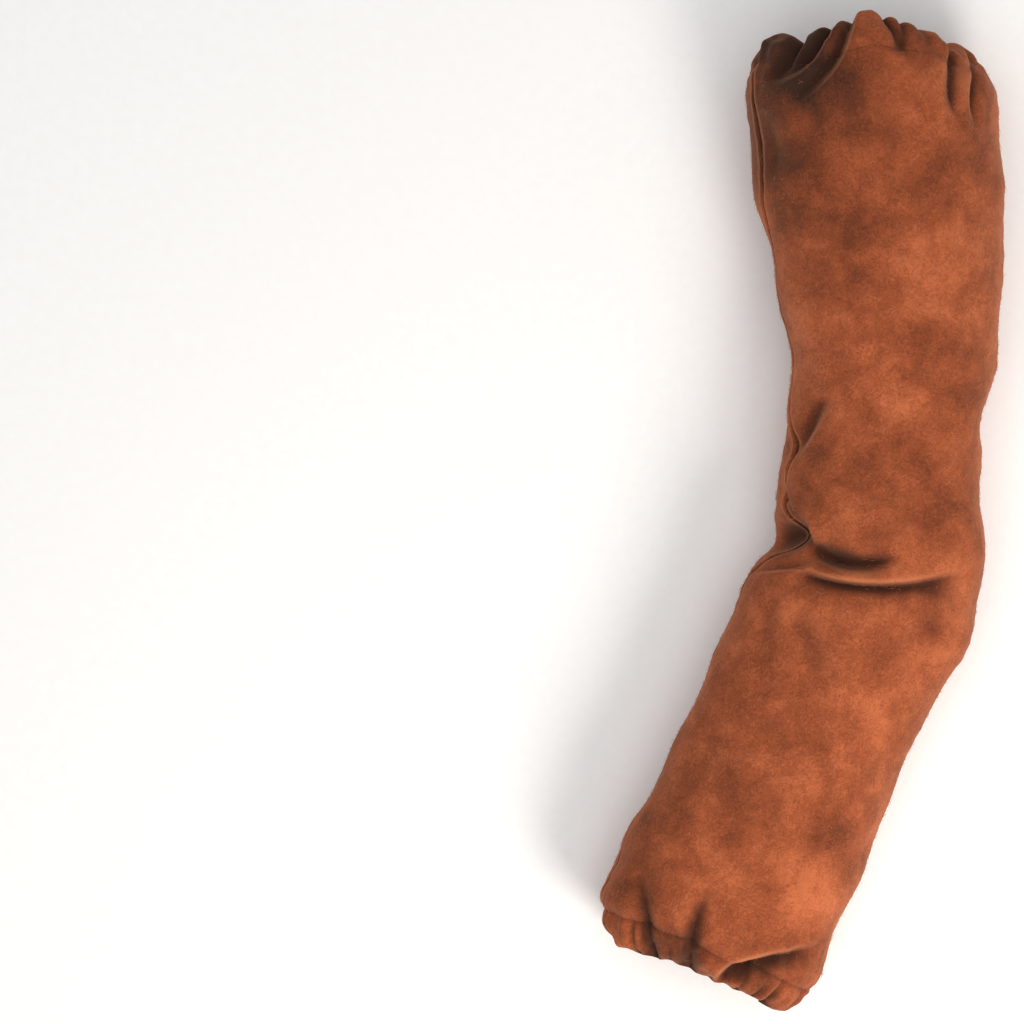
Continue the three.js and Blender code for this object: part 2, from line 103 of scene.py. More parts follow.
# Half widths to the inner and outer side as shares of the local width, and height share
SECTIONS = Table(("along", "inner", "outer", "height"), (
    (0, 0.49, 0.506, 1), (0.1, 0.49, 0.506, 1), (0.15, 0.485, 0.509, 1),
    (0.2, 0.458, 0.498, 0.99), (0.25, 0.444, 0.478, 0.97), (0.3, 0.42, 0.456, 0.95),
    (0.35, 0.406, 0.431, 0.92), (0.4, 0.41, 0.388, 0.9), (0.45, 0.443, 0.394, 0.92),
    (0.5, 0.448, 0.436, 0.95), (0.54, 0.424, 0.46, 0.96), (0.58, 0.48, 0.48, 0.97),
    (0.62, 0.513, 0.451, 0.97), (0.7, 0.502, 0.433, 0.97), (0.78, 0.498, 0.462, 0.98),
    (0.85, 0.51, 0.475, 1), (0.9, 0.556, 0.474, 1), (1, 0.556, 0.474, 1),
))

# How far each rim stands forward round its opening, as shares of the rim lead
ARM_RIM = Table(("angle", "lead"), (
    (0, 0), (25, -0.11), (45, 0.28), (62, 0.61), (75, 0.81), (82, 0.9), (88, 1), (93, 0.94),
    (98, 0.84), (103, 0.79), (116, 0.6), (133, 0.33), (150, 0.47), (165, 0.22), (180, 0),
    (270, -0.22), (360, 0),
))
WRIST_RIM = Table(("angle", "lead"), (
    (0, -0.11), (12, 0.06), (22, 0.29), (45, 0.19), (63, 0.13), (98, 0.11), (115, 0.11),
    (135, 0.22), (147, 0.26), (172, 0.17), (180, 0.06), (270, 0), (360, -0.11),
))

# Course of the lengthwise seam along the inner side of the arm
SEAM_COURSE = Table(("along", "angle"), (
    (0, 158), (0.1, 156), (0.2, 163), (0.26, 170), (0.34, 172), (0.395, 162), (0.425, 152),
    (0.455, 161), (0.485, 160), (0.515, 143), (0.53, 142), (0.56, 160), (0.6, 173),
    (0.8, 177), (0.9, 172), (1, 170),
))

# Patches where the nap lies another way, and patches of painted shade and painted light: along,
# angle, reach in mm, paler (+) or darker (-)
NAP_AND_PAINTED_LIGHT = (
    (0.018, 145, 32, -1.60),
    (0.004, 118, 16, -1.10),
    (0.036, 122, 17, -1.10),
    (0.064, 106, 16, -0.75),
    (0.106, 150, 19, -1.00),
    (0.080, 168, 12, -0.60),
    (0.130, 168, 11, -0.50),
    (0.120, 125, 12, -0.50),
    (0.180, 140, 12, -0.40),
    (0.150, 105, 46, -0.55),
    (0.117, 124, 11, -0.50),
    (0.153, 68, 13, -0.45),
    (0.134, 40, 9, -0.40),
    (0.097, 81, 8, -0.30),
    (0.386, 135, 8, -0.50),
    (0.431, 126, 9, -0.40),
    (0.455, 100, 16, -0.40),
    (0.469, 59, 13, -0.30),
    (0.525, 144, 9, -1.60),
    (0.541, 113, 8, -1.00),
    (0.585, 52, 8, -0.40),
    (0.815, 110, 11, -0.40),
    (0.814, 58, 16, -0.40),
    (0.940, 143, 18, -0.60),
    (1.000, 134, 15, -0.55),
    (1.000, 102, 14, -0.50),
    (1.000, 72, 14, -0.50),
    (0.229, 70, 25, 0.25),
    (0.050, 76, 20, 0.40),
    (0.388, 76, 13, 0.30),
    (0.484, 112, 10, 0.35),
    (0.544, 76, 15, 0.40),
    (0.595, 78, 13, 0.30),
    (0.891, 53, 24, 0.45),
    (0.956, 97, 17, 0.20),
)


def bell(distance: Array, width: float) -> Array:
    """Give the bell curve: one at nought, and 1/e at one width away."""
    return np.exp(-((distance / width) ** 2))


def smooth_step(value: Array) -> Array:
    """Rise from 0 at 0 to 1 at 1, level at both ends: three squares less two cubes."""
    t = np.clip(value, 0, 1)
    return t * t * (3 - 2 * t)


def unit(vectors: Array) -> Array:
    """Scale each vector to a length of one."""
    return vectors / np.maximum(np.linalg.norm(vectors, axis=-1, keepdims=True), 1e-12)


@dataclass(frozen=True)
class Mouth:
    """How an end closes under its elastic: share left at the rim, and over what length in mm."""

    inner: tuple[float, float]
    outer: tuple[float, float]
    height: tuple[float, float]


@dataclass(frozen=True)
class Puckers:
    """The small gathers of one elastic: waves to the turn, then heights in mm, then the seed."""

    counts: tuple[int, ...]
    in_casing: float
    beyond: float
    swell: float
    seed: int


@dataclass(frozen=True)
class Fold:
    """A curved crease over the unrolled leather.

    It runs from its first along and angle to its third, pulled towards the second. The lip
    is a ridge on one side of it, and the lean pushes that side over it. A gather runs out
    of a rim. Depth, width, lip and lean are in mm, or in shares of the form's fold sizes.
    """

    name: str
    alongs: tuple[float, float, float]
    angles: tuple[float, float, float]
    depth: float
    width: float
    lip: float = 0.0
    lean: float = 0.0
    side: int = 1
    gather: bool = False
    # Width of the wall under a lip, and of the open one over it, in fold widths
    lip_wall: float = 0.65
    open_wall: float = 1.2
    # Middle and half width of the lip, the lean and the paler ridge (partly wear, partly painted
    # highlight), in fold widths
    lip_at: tuple[float, float] = (1.3, 0.85)
    lean_at: tuple[float, float] = (0.85, 0.75)
    wear_and_highlight_at: tuple[float, float] = (1.0, 0.28)
    # From this width in mm on, the valley is as round as a bell curve
    round_from: float = 5.5
    sharp_power: float = 1.5
    # A fold of this depth in mm gets the full painted shade
    shade_depth: float = 6.0
    most_marked: float = 1.5
    end_power: float = 0.7
    pieces: int = 14

    def beside(self, off: Array, place: tuple[float, float]) -> Array:
        """Give a bell curve on the fold's lip side, at a middle and half width."""
        return bell(off - self.side * place[0] * self.width, place[1] * self.width)

    def move(self, distance: Array, angle: Array, length: float, girth: float) -> Array:
        """Work out how far the fold moves the leather, and the painted shade and paler colour it
        lays on it.

        The fold is a quadratic curve through the unrolled leather, cut into straight
        pieces. The nearest piece gives how far a point lies to one side. The dent is e to
        the minus power 1.5 of that distance over the width, or 2 for a wide one, and its
        wall is steeper under a lip. It fades to its ends as a sine, or away from the rim
        as a cosine where it is a gather.

        Args:
            distance: Distances along the middle line, in mm.
            angle: Angles round it, in degrees, shaped like distance.
            length: Length of the middle line.
            girth: What turns an angle in radians into a length on the leather.

        Returns:
            Four rows: the move outwards, the move along, the painted shade in the fold's bottom and
            the paler colour of its lip, partly wear and partly painted highlight, each shaped like
            distance.
        """
        t = np.linspace(0, 1, self.pieces + 1)
        blend = np.stack([(1 - t) ** 2, 2 * t * (1 - t), t**2])
        d = np.array(self.alongs) @ blend * length
        a = np.radians(np.array(self.angles) @ blend) * girth
        middle = sum(self.angles) / 3
        arc = np.radians(middle + (angle - middle + 180) % 360 - 180) * girth
        best = np.full(distance.shape, np.inf)
        part = np.zeros(distance.shape)
        side = np.ones(distance.shape)
        for i in range(self.pieces):
            dd, da = d[i + 1] - d[i], a[i + 1] - a[i]
            s = np.clip(((distance - d[i]) * dd + (arc - a[i]) * da) / (dd * dd + da * da), 0, 1)
            gap_d, gap_a = distance - d[i] - s * dd, arc - a[i] - s * da
            gap = np.hypot(gap_d, gap_a)
            nearer = gap < best
            best = np.where(nearer, gap, best)
            part = np.where(nearer, (i + s) / self.pieces, part)
            side = np.where(nearer, np.sign(dd * gap_a - da * gap_d), side)
        wave = np.cos(np.pi / 2 * part) if self.gather else np.sin(np.pi * part)
        fade = np.clip(wave, 0, 1) ** self.end_power
        off = best * side
        under_lip, open_side = (self.lip_wall, self.open_wall) if self.lip > 0 else (1, 1)
        wall = self.width * np.where(off * self.side > 0, under_lip, open_side)
        sharpness = self.sharp_power if self.width < self.round_from else 2
        valley = np.exp(-np.abs(off / wall) ** sharpness)
        up = self.lip * self.beside(off, self.lip_at) - self.depth * valley
        slide = self.lean * self.beside(off, self.lean_at)
        # Painted shade in the fold's bottom
        hollow = np.clip(self.depth / self.shade_depth, 0, self.most_marked) * valley
        # Paler colour on the lip: partly wear, partly painted highlight
        wear_and_highlight = min(self.lip, self.most_marked) / 2 * self.beside(off, self.wear_and_highlight_at)
        return np.stack([up, slide, hollow, wear_and_highlight]) * fade


# Folds, with sizes as shares of the fold depth and width. Negative depth makes a ridge
FOLDS = (
    Fold("arm pleat 1", (-0.007, 0.009, 0.031), (81, 75, 75), 1.25, 0.5, gather=True),
    Fold("arm pleat 2", (-0.008, 0.012, 0.031), (66, 68, 74), 0.95, 0.48, gather=True),
    Fold("arm pleat 3", (-0.009, 0.034, 0.06), (100, 101, 128), 1.15, 0.62, 0.24, 0.1, -1, True),
    Fold("arm pleat 4", (-0.01, 0.03, 0.043), (112, 111, 145), 1.2, 0.55, 0.2, 0.08, -1, True),
    Fold("arm pleat 5", (-0.013, 0.017, 0.04), (140, 120, 142), 1.3, 0.5, gather=True),
    Fold("arm pleat 6", (0, 0.051, 0.086), (24, 60, 50), 1.25, 0.55),
    Fold("arm pleat 7", (0.015, 0.057, 0.094), (6, 46, 37), 1, 0.52),
    Fold("arm pleat 8", (-0.01, 0.014, 0.029), (50, 58, 60), 0.43, 0.75, gather=True),
    Fold("arm crumple 1", (-0.012, 0.007, 0.02), (130, 127, 133), 0.75, 0.4, gather=True),
    Fold("arm crumple 2", (-0.012, 0.006, 0.017), (109, 109, 112), 0.4, 0.36, gather=True),
    Fold("arm ridge", (0.012, 0.04, 0.08), (88, 90, 92), -0.3, 1.7),
    Fold("arm hollow", (0.069, 0.1, 0.132), (147, 144, 142), 0.5, 1.33),
    Fold("arm dent", (0.079, 0.079, 0.08), (121, 99, 77), 0.27, 1.83),
    Fold("bulge edge", (0.43, 0.404, 0.366), (152, 138, 129), 0.78, 1.1, 0.2, 0.08),
    Fold("bulge rim", (0.442, 0.476, 0.505), (168, 170, 138), 0.4, 0.53),
    Fold("inner crease", (0.539, 0.527, 0.518), (176, 142, 131), 1.83, 1.27),
    Fold("elbow pocket", (0.535, 0.561, 0.527), (130, 104, 80), 1.5, 0.85, 0.2),
    Fold("pocket heel", (0.528, 0.552, 0.544), (133, 121, 102), 0.95, 0.75),
    Fold("elbow undercut", (0.568, 0.583, 0.529), (132, 108, 36), 1.3, 0.7, 0.27, 0.33, -1),
    Fold("elbow crease", (0.552, 0.551, 0.558), (66, 50, 34), 0.45, 0.9),
    Fold("shoulder crease", (0.554, 0.566, 0.592), (126, 132, 172), 0.5, 0.75, 0.2, 0, -1),
    Fold("forearm dent 1", (0.608, 0.645, 0.682), (124, 108, 92), 0.47, 1.15),
    Fold("forearm dent 2", (0.604, 0.64, 0.691), (140, 129, 130), 0.38, 1.05),
    Fold("forearm dent 3", (0.764, 0.802, 0.84), (147, 124, 102), 0.37, 2),
    Fold("forearm dent 4", (0.608, 0.581, 0.571), (64, 57, 34), 0.33, 1.08),
    Fold("wrist pleat 1", (1.014, 0.968, 0.924), (126, 122, 144), 1.45, 0.8, gather=True),
    Fold("wrist pleat 2", (1.016, 0.963, 0.912), (99, 105, 104), 1.4, 0.77, gather=True),
    Fold("wrist pleat 3", (1.014, 0.978, 0.966), (104, 109, 112), 0.6, 0.42, gather=True),
    Fold("wrist fold", (0.997, 0.978, 0.932), (78, 88, 28), 1.75, 0.85, 0.4, 0.28, -1),
    Fold("wrist pleat 5", (1.01, 0.995, 0.976), (66, 68, 68), 0.7, 0.42, gather=True),
    Fold("wrist pleat 4", (1.016, 0.995, 0.976), (32, 50, 48), 1.08, 0.53, gather=True),
    Fold("wrist puff", (0.979, 0.989, 0.976), (98, 89, 79), -0.43, 1.25),
) + tuple(
    Fold("wrist crumple", (1.015, 0.992, 0.974), (angle + 1, angle, angle - 2), depth, 0.38,
         gather=True)
    for angle, depth in ((138, 0.4), (113, 0.55), (86, 0.5), (76, 0.4), (55, 0.6), (20, 0.5))
) + tuple(
    fold
    for k, angle in enumerate(range(200, 368, 24))
    for fold in (
        Fold("arm under pleat", (-0.011, 0.025, 0.058), (angle, angle + 3, angle + 4),
             0.7 if k % 2 else 0.83, 1, gather=True),
        Fold("wrist under pleat", (1.011, 0.978, 0.945), (angle + 4, angle + 1, angle),
             0.73 if k % 2 else 0.6, 0.92, gather=True),
    )
)


@dataclass(frozen=True)
class Ripples:
    """Waves of random direction in space, the same on each run, for leather that is never flat."""

    height: float
    shortest: float
    longest: float
    count: int
    seed: int

    def at(self, points: Array) -> Array:
        """Sum sine waves of random direction, length and start at each point.

        Args:
            points: Places in mm, with x, y and z last.

        Returns:
            Heights in mm.
        """
        rng = np.random.default_rng(self.seed)
        way = unit(rng.normal(size=(self.count, 3)))
        length = rng.uniform(self.shortest, self.longest, self.count)
        start = rng.uniform(0, 2 * np.pi, self.count)
        phase = points @ (way * (2 * np.pi / length[:, None])).T + start
        return self.height * np.sin(phase).sum(axis=-1) * math.sqrt(2 / self.count)


@dataclass(frozen=True)
class SleeveForm:
    """Shape of the leather's outer face, as a function of distance and angle."""

    sleeve_length: float = 584.0
    upper_width: float = 144.0
    upper_height: float = 108.0
    wrist_width: float = 127.0
    wrist_height: float = 84.0
    elbow_bend: float = 31.0
    leather_thickness: float = 1.5
    casing_width: float = 15.0
    fold_depth: float = 6.0
    fold_width: float = 6.0
    rim_lead: float = 18.0
    under_sag: float = 8.0
    floor_softness: float = 6.0
    section_roundness: float = 2.25
    arm_rim_reach: float = 60.0
    wrist_rim_reach: float = 40.0
    mouth_power: float = 2.4
    rim_power: float = 1.5
    # Height of the middle line over the floor, as a share of the sleeve's height
    middle_share: float = 0.46
    # Half width at the elbow and the radius for folds and seam, in upper widths
    elbow_share: float = 0.4364
    girth_share: float = 0.4167
    arm_stitch_dip: float = 0.35
    wrist_stitch_dip: float = 1.1
    stitch_dip_width: float = 1.7
    # Painted shade in the stitch dips, as a share of their depth
    stitch_dip_shade: float = 0.25
    seam_dip_width: float = 2.4
    swell_reach: float = 5.0
    pucker_reach: float = 11.0
    # Painted shade in pucker hollows, and paler pucker crests that are partly wear and partly
    # painted highlight
    pucker_shade: float = 0.35
    pucker_wear_and_highlight: float = 0.12
    # The leather moves freely from this height over the floor on
    free_height: float = 25.0
    # Where the middle line crosses the arm rim, in the model's frame
    start: tuple[float, float] = (35.927, 267.030)
    # The walk's step, and how far it goes on past the arm rim and the wrist rim
    walk_step: float = 0.5
    walk_past: tuple[float, float] = (40, 30)
    # How many widths away a fold still tells
    fold_sight: float = 5.0
    arm_mouth: Mouth = Mouth((0.8, 32), (0.64, 52), (0.7, 46))
    wrist_mouth: Mouth = Mouth((0.75, 36), (0.84, 26), (0.74, 34))
    arm_puckers: Puckers = Puckers((17, 23, 29, 41), 0.45, 0.3, 0.1, 3)
    wrist_puckers: Puckers = Puckers((19, 24, 31, 43), 0.85, 0.5, 1.2, 7)
    broad: Ripples = Ripples(0.75, 38, 80, 12, 5)
    small: Ripples = Ripples(0.16, 9, 20, 18, 11)
    knots: Ripples = Ripples(0.5, 8, 17, 16, 17)
    knot_reach: float = 45.0
    rim_waver: float = 0.7

    @cached_property
    def length(self) -> float:
        """Give the middle line's length: the outer side's less what the elbow bend adds."""
        half_width = self.elbow_share * self.upper_width
        return self.sleeve_length - math.radians(self.elbow_bend) * half_width

    @cached_property
    def girth(self) -> float:
        """Give the radius that turns an angle into a length for folds and seam."""
        return self.girth_share * self.upper_width

    @cached_property
    def folds(self) -> tuple[Fold, ...]:
        """Give the folds of the table with their sizes in millimetres."""
        return tuple(
            replace(fold, depth=fold.depth * self.fold_depth, width=fold.width * self.fold_width,
                    lip=fold.lip * self.fold_depth, lean=fold.lean * self.fold_depth)
            for fold in FOLDS
        )

    @cached_property
    def walk(self) -> tuple[Array, Array, Array, Array]:
        """Walk the middle line in half millimetre steps.

        The heading is the elbow bend times the bend curve, and each step goes sine of the
        heading across and minus its cosine along.

        Returns:
            Distances, x, y and headings.
        """
        step, (before, beyond) = self.walk_step, self.walk_past
        d = np.arange(-before, self.length + beyond, step)
        heading = np.radians(self.elbow_bend * BENDS.curve("bend", np.clip(d / self.length, 0, 1)))
        mean = lambda v: (v[1:] + v[:-1]) / 2
        x = np.concatenate([[0], np.cumsum(mean(np.sin(heading)) * step)])
        y = np.concatenate([[0], -np.cumsum(mean(np.cos(heading)) * step)])
        x += self.start[0] - np.interp(0, d, x)
        y += self.start[1] - np.interp(0, d, y)
        return d, x, y, heading

    def plain(self, distance: Array, angle: Array) -> Array:
        """Give points on the plain tube without folds.

        Each section is a superellipse: across is the half width times the cosine and up the
        rise times the sine, both times the radius at which the powers of sine and cosine
        sum to one. Near a rim the widths close, and the rim leans by its lead curve.

        Args:
            distance: Distances along the middle line, in mm.
            angle: Angles round it, in degrees.

        Returns:
            Points in mm, with x, y and z last.
        """
        distance, angle = np.broadcast_arrays(np.asarray(distance, float), np.asarray(angle, float))
        along = distance / self.length
        from_wrist = self.length - distance

        def closed(size: Array | float, name: str) -> Array:
            """Close a size towards both rims by the mouths' shares of that name."""
            for mouth, gap in ((self.arm_mouth, distance), (self.wrist_mouth, from_wrist)):
                share, reach = getattr(mouth, name)
                open_part = (1 - np.clip(gap / reach, 0, 1)) ** self.mouth_power
                size = size * (1 - (1 - share) * open_part)
            return size

        width = self.upper_width + (self.wrist_width - self.upper_width) * along
        height = self.upper_height + (self.wrist_height - self.upper_height) * along
        height = height * SECTIONS.curve("height", along)
        cos, sin = np.cos(np.radians(angle)), np.sin(np.radians(angle))
        outer, inner = (closed(SECTIONS.curve(side, along), side) for side in ("outer", "inner"))
        half = width * np.where(cos > 0, outer, inner)
        n = self.section_roundness
        radius = (np.abs(cos) ** n + np.abs(sin) ** n) ** (-1 / n)
        middle = self.middle_share * height
        rise = np.where(sin > 0, height - middle, middle + self.under_sag) * closed(1, "height")
        turn = angle % 360
        arm_share = np.clip(1 - distance / self.arm_rim_reach, 0, 1) ** self.rim_power
        wrist_share = np.clip(1 - from_wrist / self.wrist_rim_reach, 0, 1) ** self.rim_power
        station = distance - self.rim_lead * ARM_RIM.curve("lead", turn) * arm_share
        station = station + self.rim_lead * WRIST_RIM.curve("lead", turn) * wrist_share
        d, x, y, h = self.walk
        heading = np.interp(station, d, h)
        across = half * radius * cos
        return np.stack([
            np.interp(station, d, x) + np.cos(heading) * across,
            np.interp(station, d, y) + np.sin(heading) * across,
            middle + rise * radius * sin,
        ], axis=-1)

    def fold_moves(self, distance: Array, angle: Array) -> Array:
        """Sum the moves and marks of all folds, and the dips under the two stitch lines with their
        painted shade.

        Args:
            distance: Distances along the middle line, in mm.
            angle: Angles round it, in degrees.

        Returns:
            Four rows as each fold gives them.
        """
        total = np.zeros((4, *distance.shape))
        for fold in self.folds:
            reach = self.fold_sight * fold.width
            near = (distance > min(fold.alongs) * self.length - reach) & (
                distance < max(fold.alongs) * self.length + reach)
            if near.any():
                total[:, near] += fold.move(distance[near], angle[near], self.length, self.girth)
        for from_rim, dip in ((distance, self.arm_stitch_dip),
                              (self.length - distance, self.wrist_stitch_dip)):
            groove = dip * bell(from_rim - self.casing_width, self.stitch_dip_width)
            total[0] -= groove
            # Painted shade in the groove under the stitch line
            total[2] += self.stitch_dip_shade * groove
        return total

    def nap_and_painted_light(self, distance: Array, angle: Array) -> Array:
        """Sum the soft patches of the nap and of painted shade and painted light, each a bell over
        the unrolled leather.
        """
        total = np.zeros(distance.shape)
        for along, middle, reach, amount in NAP_AND_PAINTED_LIGHT:
            arc = np.radians((angle - middle + 180) % 360 - 180) * self.girth
            total += amount * bell(np.hypot(distance - along * self.length, arc), reach)
        return total

    def puckers(self, distance: Array, angle: Array) -> Array:
        """Give the small gathers that the elastics pull into the leather near both rims.

        Waves round the opening, of a few close counts to the turn so that they come and
        go, are strongest in the casing and die away within a few centimetres of it.

        Args:
            distance: Distances along the middle line, in mm.
            angle: Angles round it, in degrees.

        Returns:
            Moves outwards, in mm.
        """
        a = np.radians(angle)
        total = np.zeros(distance.shape)
        for from_rim, made in ((distance, self.arm_puckers),
                               (self.length - distance, self.wrist_puckers)):
            starts = np.random.default_rng(made.seed).uniform(0, 2 * np.pi, len(made.counts))
            wave = sum(np.sin(n * a + s) for n, s in zip(made.counts, starts))
            into = from_rim / self.casing_width
            past = from_rim - self.casing_width
            total += wave / math.sqrt(len(made.counts)) * np.where(
                past < 0,
                made.in_casing * np.sin(np.pi * np.clip(into, 0, 1)) ** 0.6
                + made.beyond * smooth_step(into),
                made.beyond * np.exp(-np.clip(past, 0, None) / self.pucker_reach),
            )
            rounding = bell(past - 1.2 * self.swell_reach, self.swell_reach)
            uneven = 0.75 + 0.25 * np.sin(7 * a + starts[0])
            total += made.swell * rounding * uneven * (past > 0)
        return total

    def face(self, distance: Array, angle: Array,
             seam_dip: float = 0.0) -> tuple[Array, dict[str, Array]]:
        """Give the leather's outer face with its folds, resting on the floor.

        The plain point moves straight out by the folds, puckers and ripples, and along by
        the folds' lean and the rims' waver. Near a rim the ripples have small knots too.
        What would lie under the floor is laid on it with a soft turn.

        Args:
            distance: Distances along the middle line, in mm.
            angle: Angles round it, in degrees.
            seam_dip: Depth of the dip over the lengthwise seam, in mm.

        Returns:
            Points in mm, and the marks: painted shade in hollows, a paler colour on ridges that is
                partly wear and partly painted highlight, and the nap's patches with painted shade
                and painted light.
        """
        distance, angle = np.broadcast_arrays(np.asarray(distance, float), np.asarray(angle, float))
        nudge = 0.25
        base = self.plain(distance, angle)
        along_way = unit(self.plain(distance + nudge, angle) - base)
        outward = unit(np.cross(unit(self.plain(distance, angle + nudge) - base), along_way))
        up, slide, hollow, wear_and_highlight = self.fold_moves(distance, angle)
        free = smooth_step(base[..., 2] / self.free_height)
        pucker = self.puckers(distance, angle) * (0.3 + 0.7 * free)
        from_rim = np.minimum(distance, self.length - distance)
        near_rim = 1 - smooth_step(from_rim / self.knot_reach)
        ripple = self.broad.at(base) + self.small.at(base) + self.knots.at(base) * near_rim
        up = up + pucker + ripple * free
        in_casing = 1 - smooth_step(from_rim / self.casing_width)
        slide = slide + self.rim_waver * self.knots.at(base[..., ::-1]) * in_casing
        # Painted shade in the pucker hollows; the crests are paled, partly wear and partly painted
        # highlight
        hollow = hollow + self.pucker_shade * np.clip(-pucker, 0, 1)
        wear_and_highlight = wear_and_highlight + self.pucker_wear_and_highlight * np.clip(pucker, 0, 1)
        if seam_dip:
            off = (angle - SEAM_COURSE.curve("angle", distance / self.length) + 540) % 360 - 180
            up = up - seam_dip * bell(np.radians(off) * self.girth, self.seam_dip_width)
        points = base + outward * up[..., None] + along_way * slide[..., None]
        z, k = points[..., 2], self.floor_softness
        points[..., 2] = np.where(z > k, z, np.where(z < -k, 0, (z + k) ** 2 / (4 * k)))
        return points, {"hollow": hollow, "wear_and_highlight": wear_and_highlight, "pale": self.nap_and_painted_light(distance, angle)}

    def casing_outward(self, angle: Array, at_wrist: Array | bool) -> Array:
        """Give the way straight out of the plain tube half way along a casing.

        Args:
            angle: Angles round the middle line, in degrees.
            at_wrist: Whether the wrist casing is meant, for each angle or for all.

        Returns:
            Unit vectors.
        """
        half = self.casing_width / 2
        distance = np.where(at_wrist, self.length - half, half) + np.zeros(np.shape(angle))
        base = self.plain(distance, angle)
        along_way = self.plain(distance + 0.5, angle) - base
        return unit(np.cross(self.plain(distance, angle + 0.5) - base, along_way))


def ring_faces(rings: int, count: int, ends_meet: bool) -> Array:
    """Join closed rings of points, each to the next, with four-sided faces.

    Args:
        rings: How many rings there are.
        count: How many points each ring has.
        ends_meet: Whether the last ring joins the first one. Otherwise the end rings are
            closed across, from each point to the one that faces it.

    Returns:
        Rows of four point numbers.
    """
    joins = rings if ends_meet else rings - 1
    i, k = np.meshgrid(np.arange(joins), np.arange(count), indexing="ij")
    at = lambda row, column: (row % rings) * count + column % count
    sides = np.stack([at(i, k), at(i, k + 1), at(i + 1, k + 1), at(i + 1, k)], -1).reshape(-1, 4)
    if ends_meet:
        return sides
    k = np.arange(count // 2 - 1)
    cap = np.stack([k + 1, k, count - 1 - k, count - 2 - k], -1)
    return np.concatenate([sides, cap, cap[:, ::-1] + (rings - 1) * count])


def enclosed_volume(points: Array, quads: Array) -> float:
    """Sum the signed volumes between the origin and each half of each face."""
    a, b, c, d = (points[quads[:, n]] for n in range(4))
    whole = np.einsum("ij,ij->i", a, np.cross(b, c)) + np.einsum("ij,ij->i", a, np.cross(c, d))
    return float(whole.sum() / 6)


def new_piece(name: str, points: Array, faces: Array, marks: dict[str, Array] | None = None,
              sharp_degrees: float = 55.0) -> Object:
    """Make an object at the origin from points in millimetres.

    Args:
        name: The piece's name.
        points: One row of x, y and z for each point, in mm.
        faces: One row of three or four point numbers for each face.
        marks: Values for each point, kept in attributes of these names.
        sharp_degrees: Edges that turn by more than this stay sharp.

    Returns:
        The object, linked to the scene, with smooth faces that point outwards.
    """
    points, faces = points.reshape(-1, 3), np.asarray(faces)
    if faces.shape[1] == 4 and enclosed_volume(points, faces) < 0:
        faces = faces[:, ::-1]
    mesh = bpy.data.meshes.new(name)
    mesh.vertices.add(len(points))
    mesh.vertices.foreach_set("co", (points * MM).astype(np.float32).ravel())
    mesh.loops.add(faces.size)
    mesh.loops.foreach_set("vertex_index", faces.astype(np.int32).ravel())
    mesh.polygons.add(len(faces))
    starts = np.arange(0, faces.size, faces.shape[1], dtype=np.int32)
    mesh.polygons.foreach_set("loop_start", starts)
    mesh.update(calc_edges=True)
    mesh.validate()
    mesh.polygons.foreach_set("use_smooth", np.ones(len(mesh.polygons), bool))
    mesh.set_sharp_from_angle(angle=math.radians(sharp_degrees))
    for mark, values in (marks or {}).items():
        layer = mesh.attributes.new(mark, "FLOAT", "POINT")
        layer.data.foreach_set("value", values.astype(np.float32).ravel())
    piece = bpy.data.objects.new(name, mesh)
    bpy.context.scene.collection.objects.link(piece)
    return piece


def new_rods(name: str, points: Array) -> Object:
    """Make one piece of many rods, each a stack of rings that is closed at both ends.

    Args:
        name: The piece's name.
        points: Places in mm, by rod, by ring and by point of the ring.

    Returns:
        The object.
    """
    count, rings, sides = points.shape[:3]
    each = (np.arange(count) * rings * sides)[:, None, None]
    faces = ring_faces(rings, sides, False) + each
    return new_piece(name, points, faces.reshape(-1, 4), sharp_degrees=80)


def linear(colour: str) -> tuple[float, float, float, float]:
    """Turn an sRGB hex colour such as #a0522d into linear red, green, blue and alpha."""
    parts = [int(colour[i:i + 2], 16) / 255 for i in (1, 3, 5)]
    red, green, blue = (c / 12.92 if c <= 0.04045 else ((c + 0.055) / 1.055) ** 2.4 for c in parts)
    return red, green, blue, 1.0


def add_node(tree: NodeTree, kind: str, inputs: dict | None = None, **settings) -> Node:
    """Add a shader node with its settings and links.

    Args:
        tree: The material's or world's node tree.
        kind: The node's type name, such as ShaderNodeTexNoise.
        inputs: What each input socket, by name or number, takes: another node's output
            socket, which is linked, or a plain value, which is set.
        settings: The node's own properties.

    Returns:
        The node.
    """
    node = tree.nodes.new(kind)
    for name, value in settings.items():
        setattr(node, name, value)
    for name, value in (inputs or {}).items():
        if isinstance(value, NodeSocket):
            tree.links.new(value, node.inputs[name])
        else:
            node.inputs[name].default_value = value
    return node


def empty_material(name: str) -> tuple[Material, NodeTree]:
    """Make a material whose node tree holds nothing yet."""
    material = bpy.data.materials.new(name)
    material.use_nodes = True
    material.node_tree.nodes.clear()
    return material, material.node_tree


def colour_ramp(tree: NodeTree, factor: NodeSocket,
                stops: tuple[tuple[float, str], ...]) -> NodeSocket:
    """Turn a factor into a colour through stops of place and hex colour.

    Args:
        tree: The node tree.
        factor: The socket that is read, from 0 to 1.
        stops: Place and colour of each stop, in rising order.

    Returns:
        The colour socket.
    """
    node = add_node(tree, "ShaderNodeValToRGB", {"Fac": factor})
    elements = node.color_ramp.elements
    while len(elements) < len(stops):
        elements.new(0.5)
    for element, (place, colour) in zip(elements, stops):
        element.position = place
        element.color = linear(colour)
    return node.outputs["Color"]


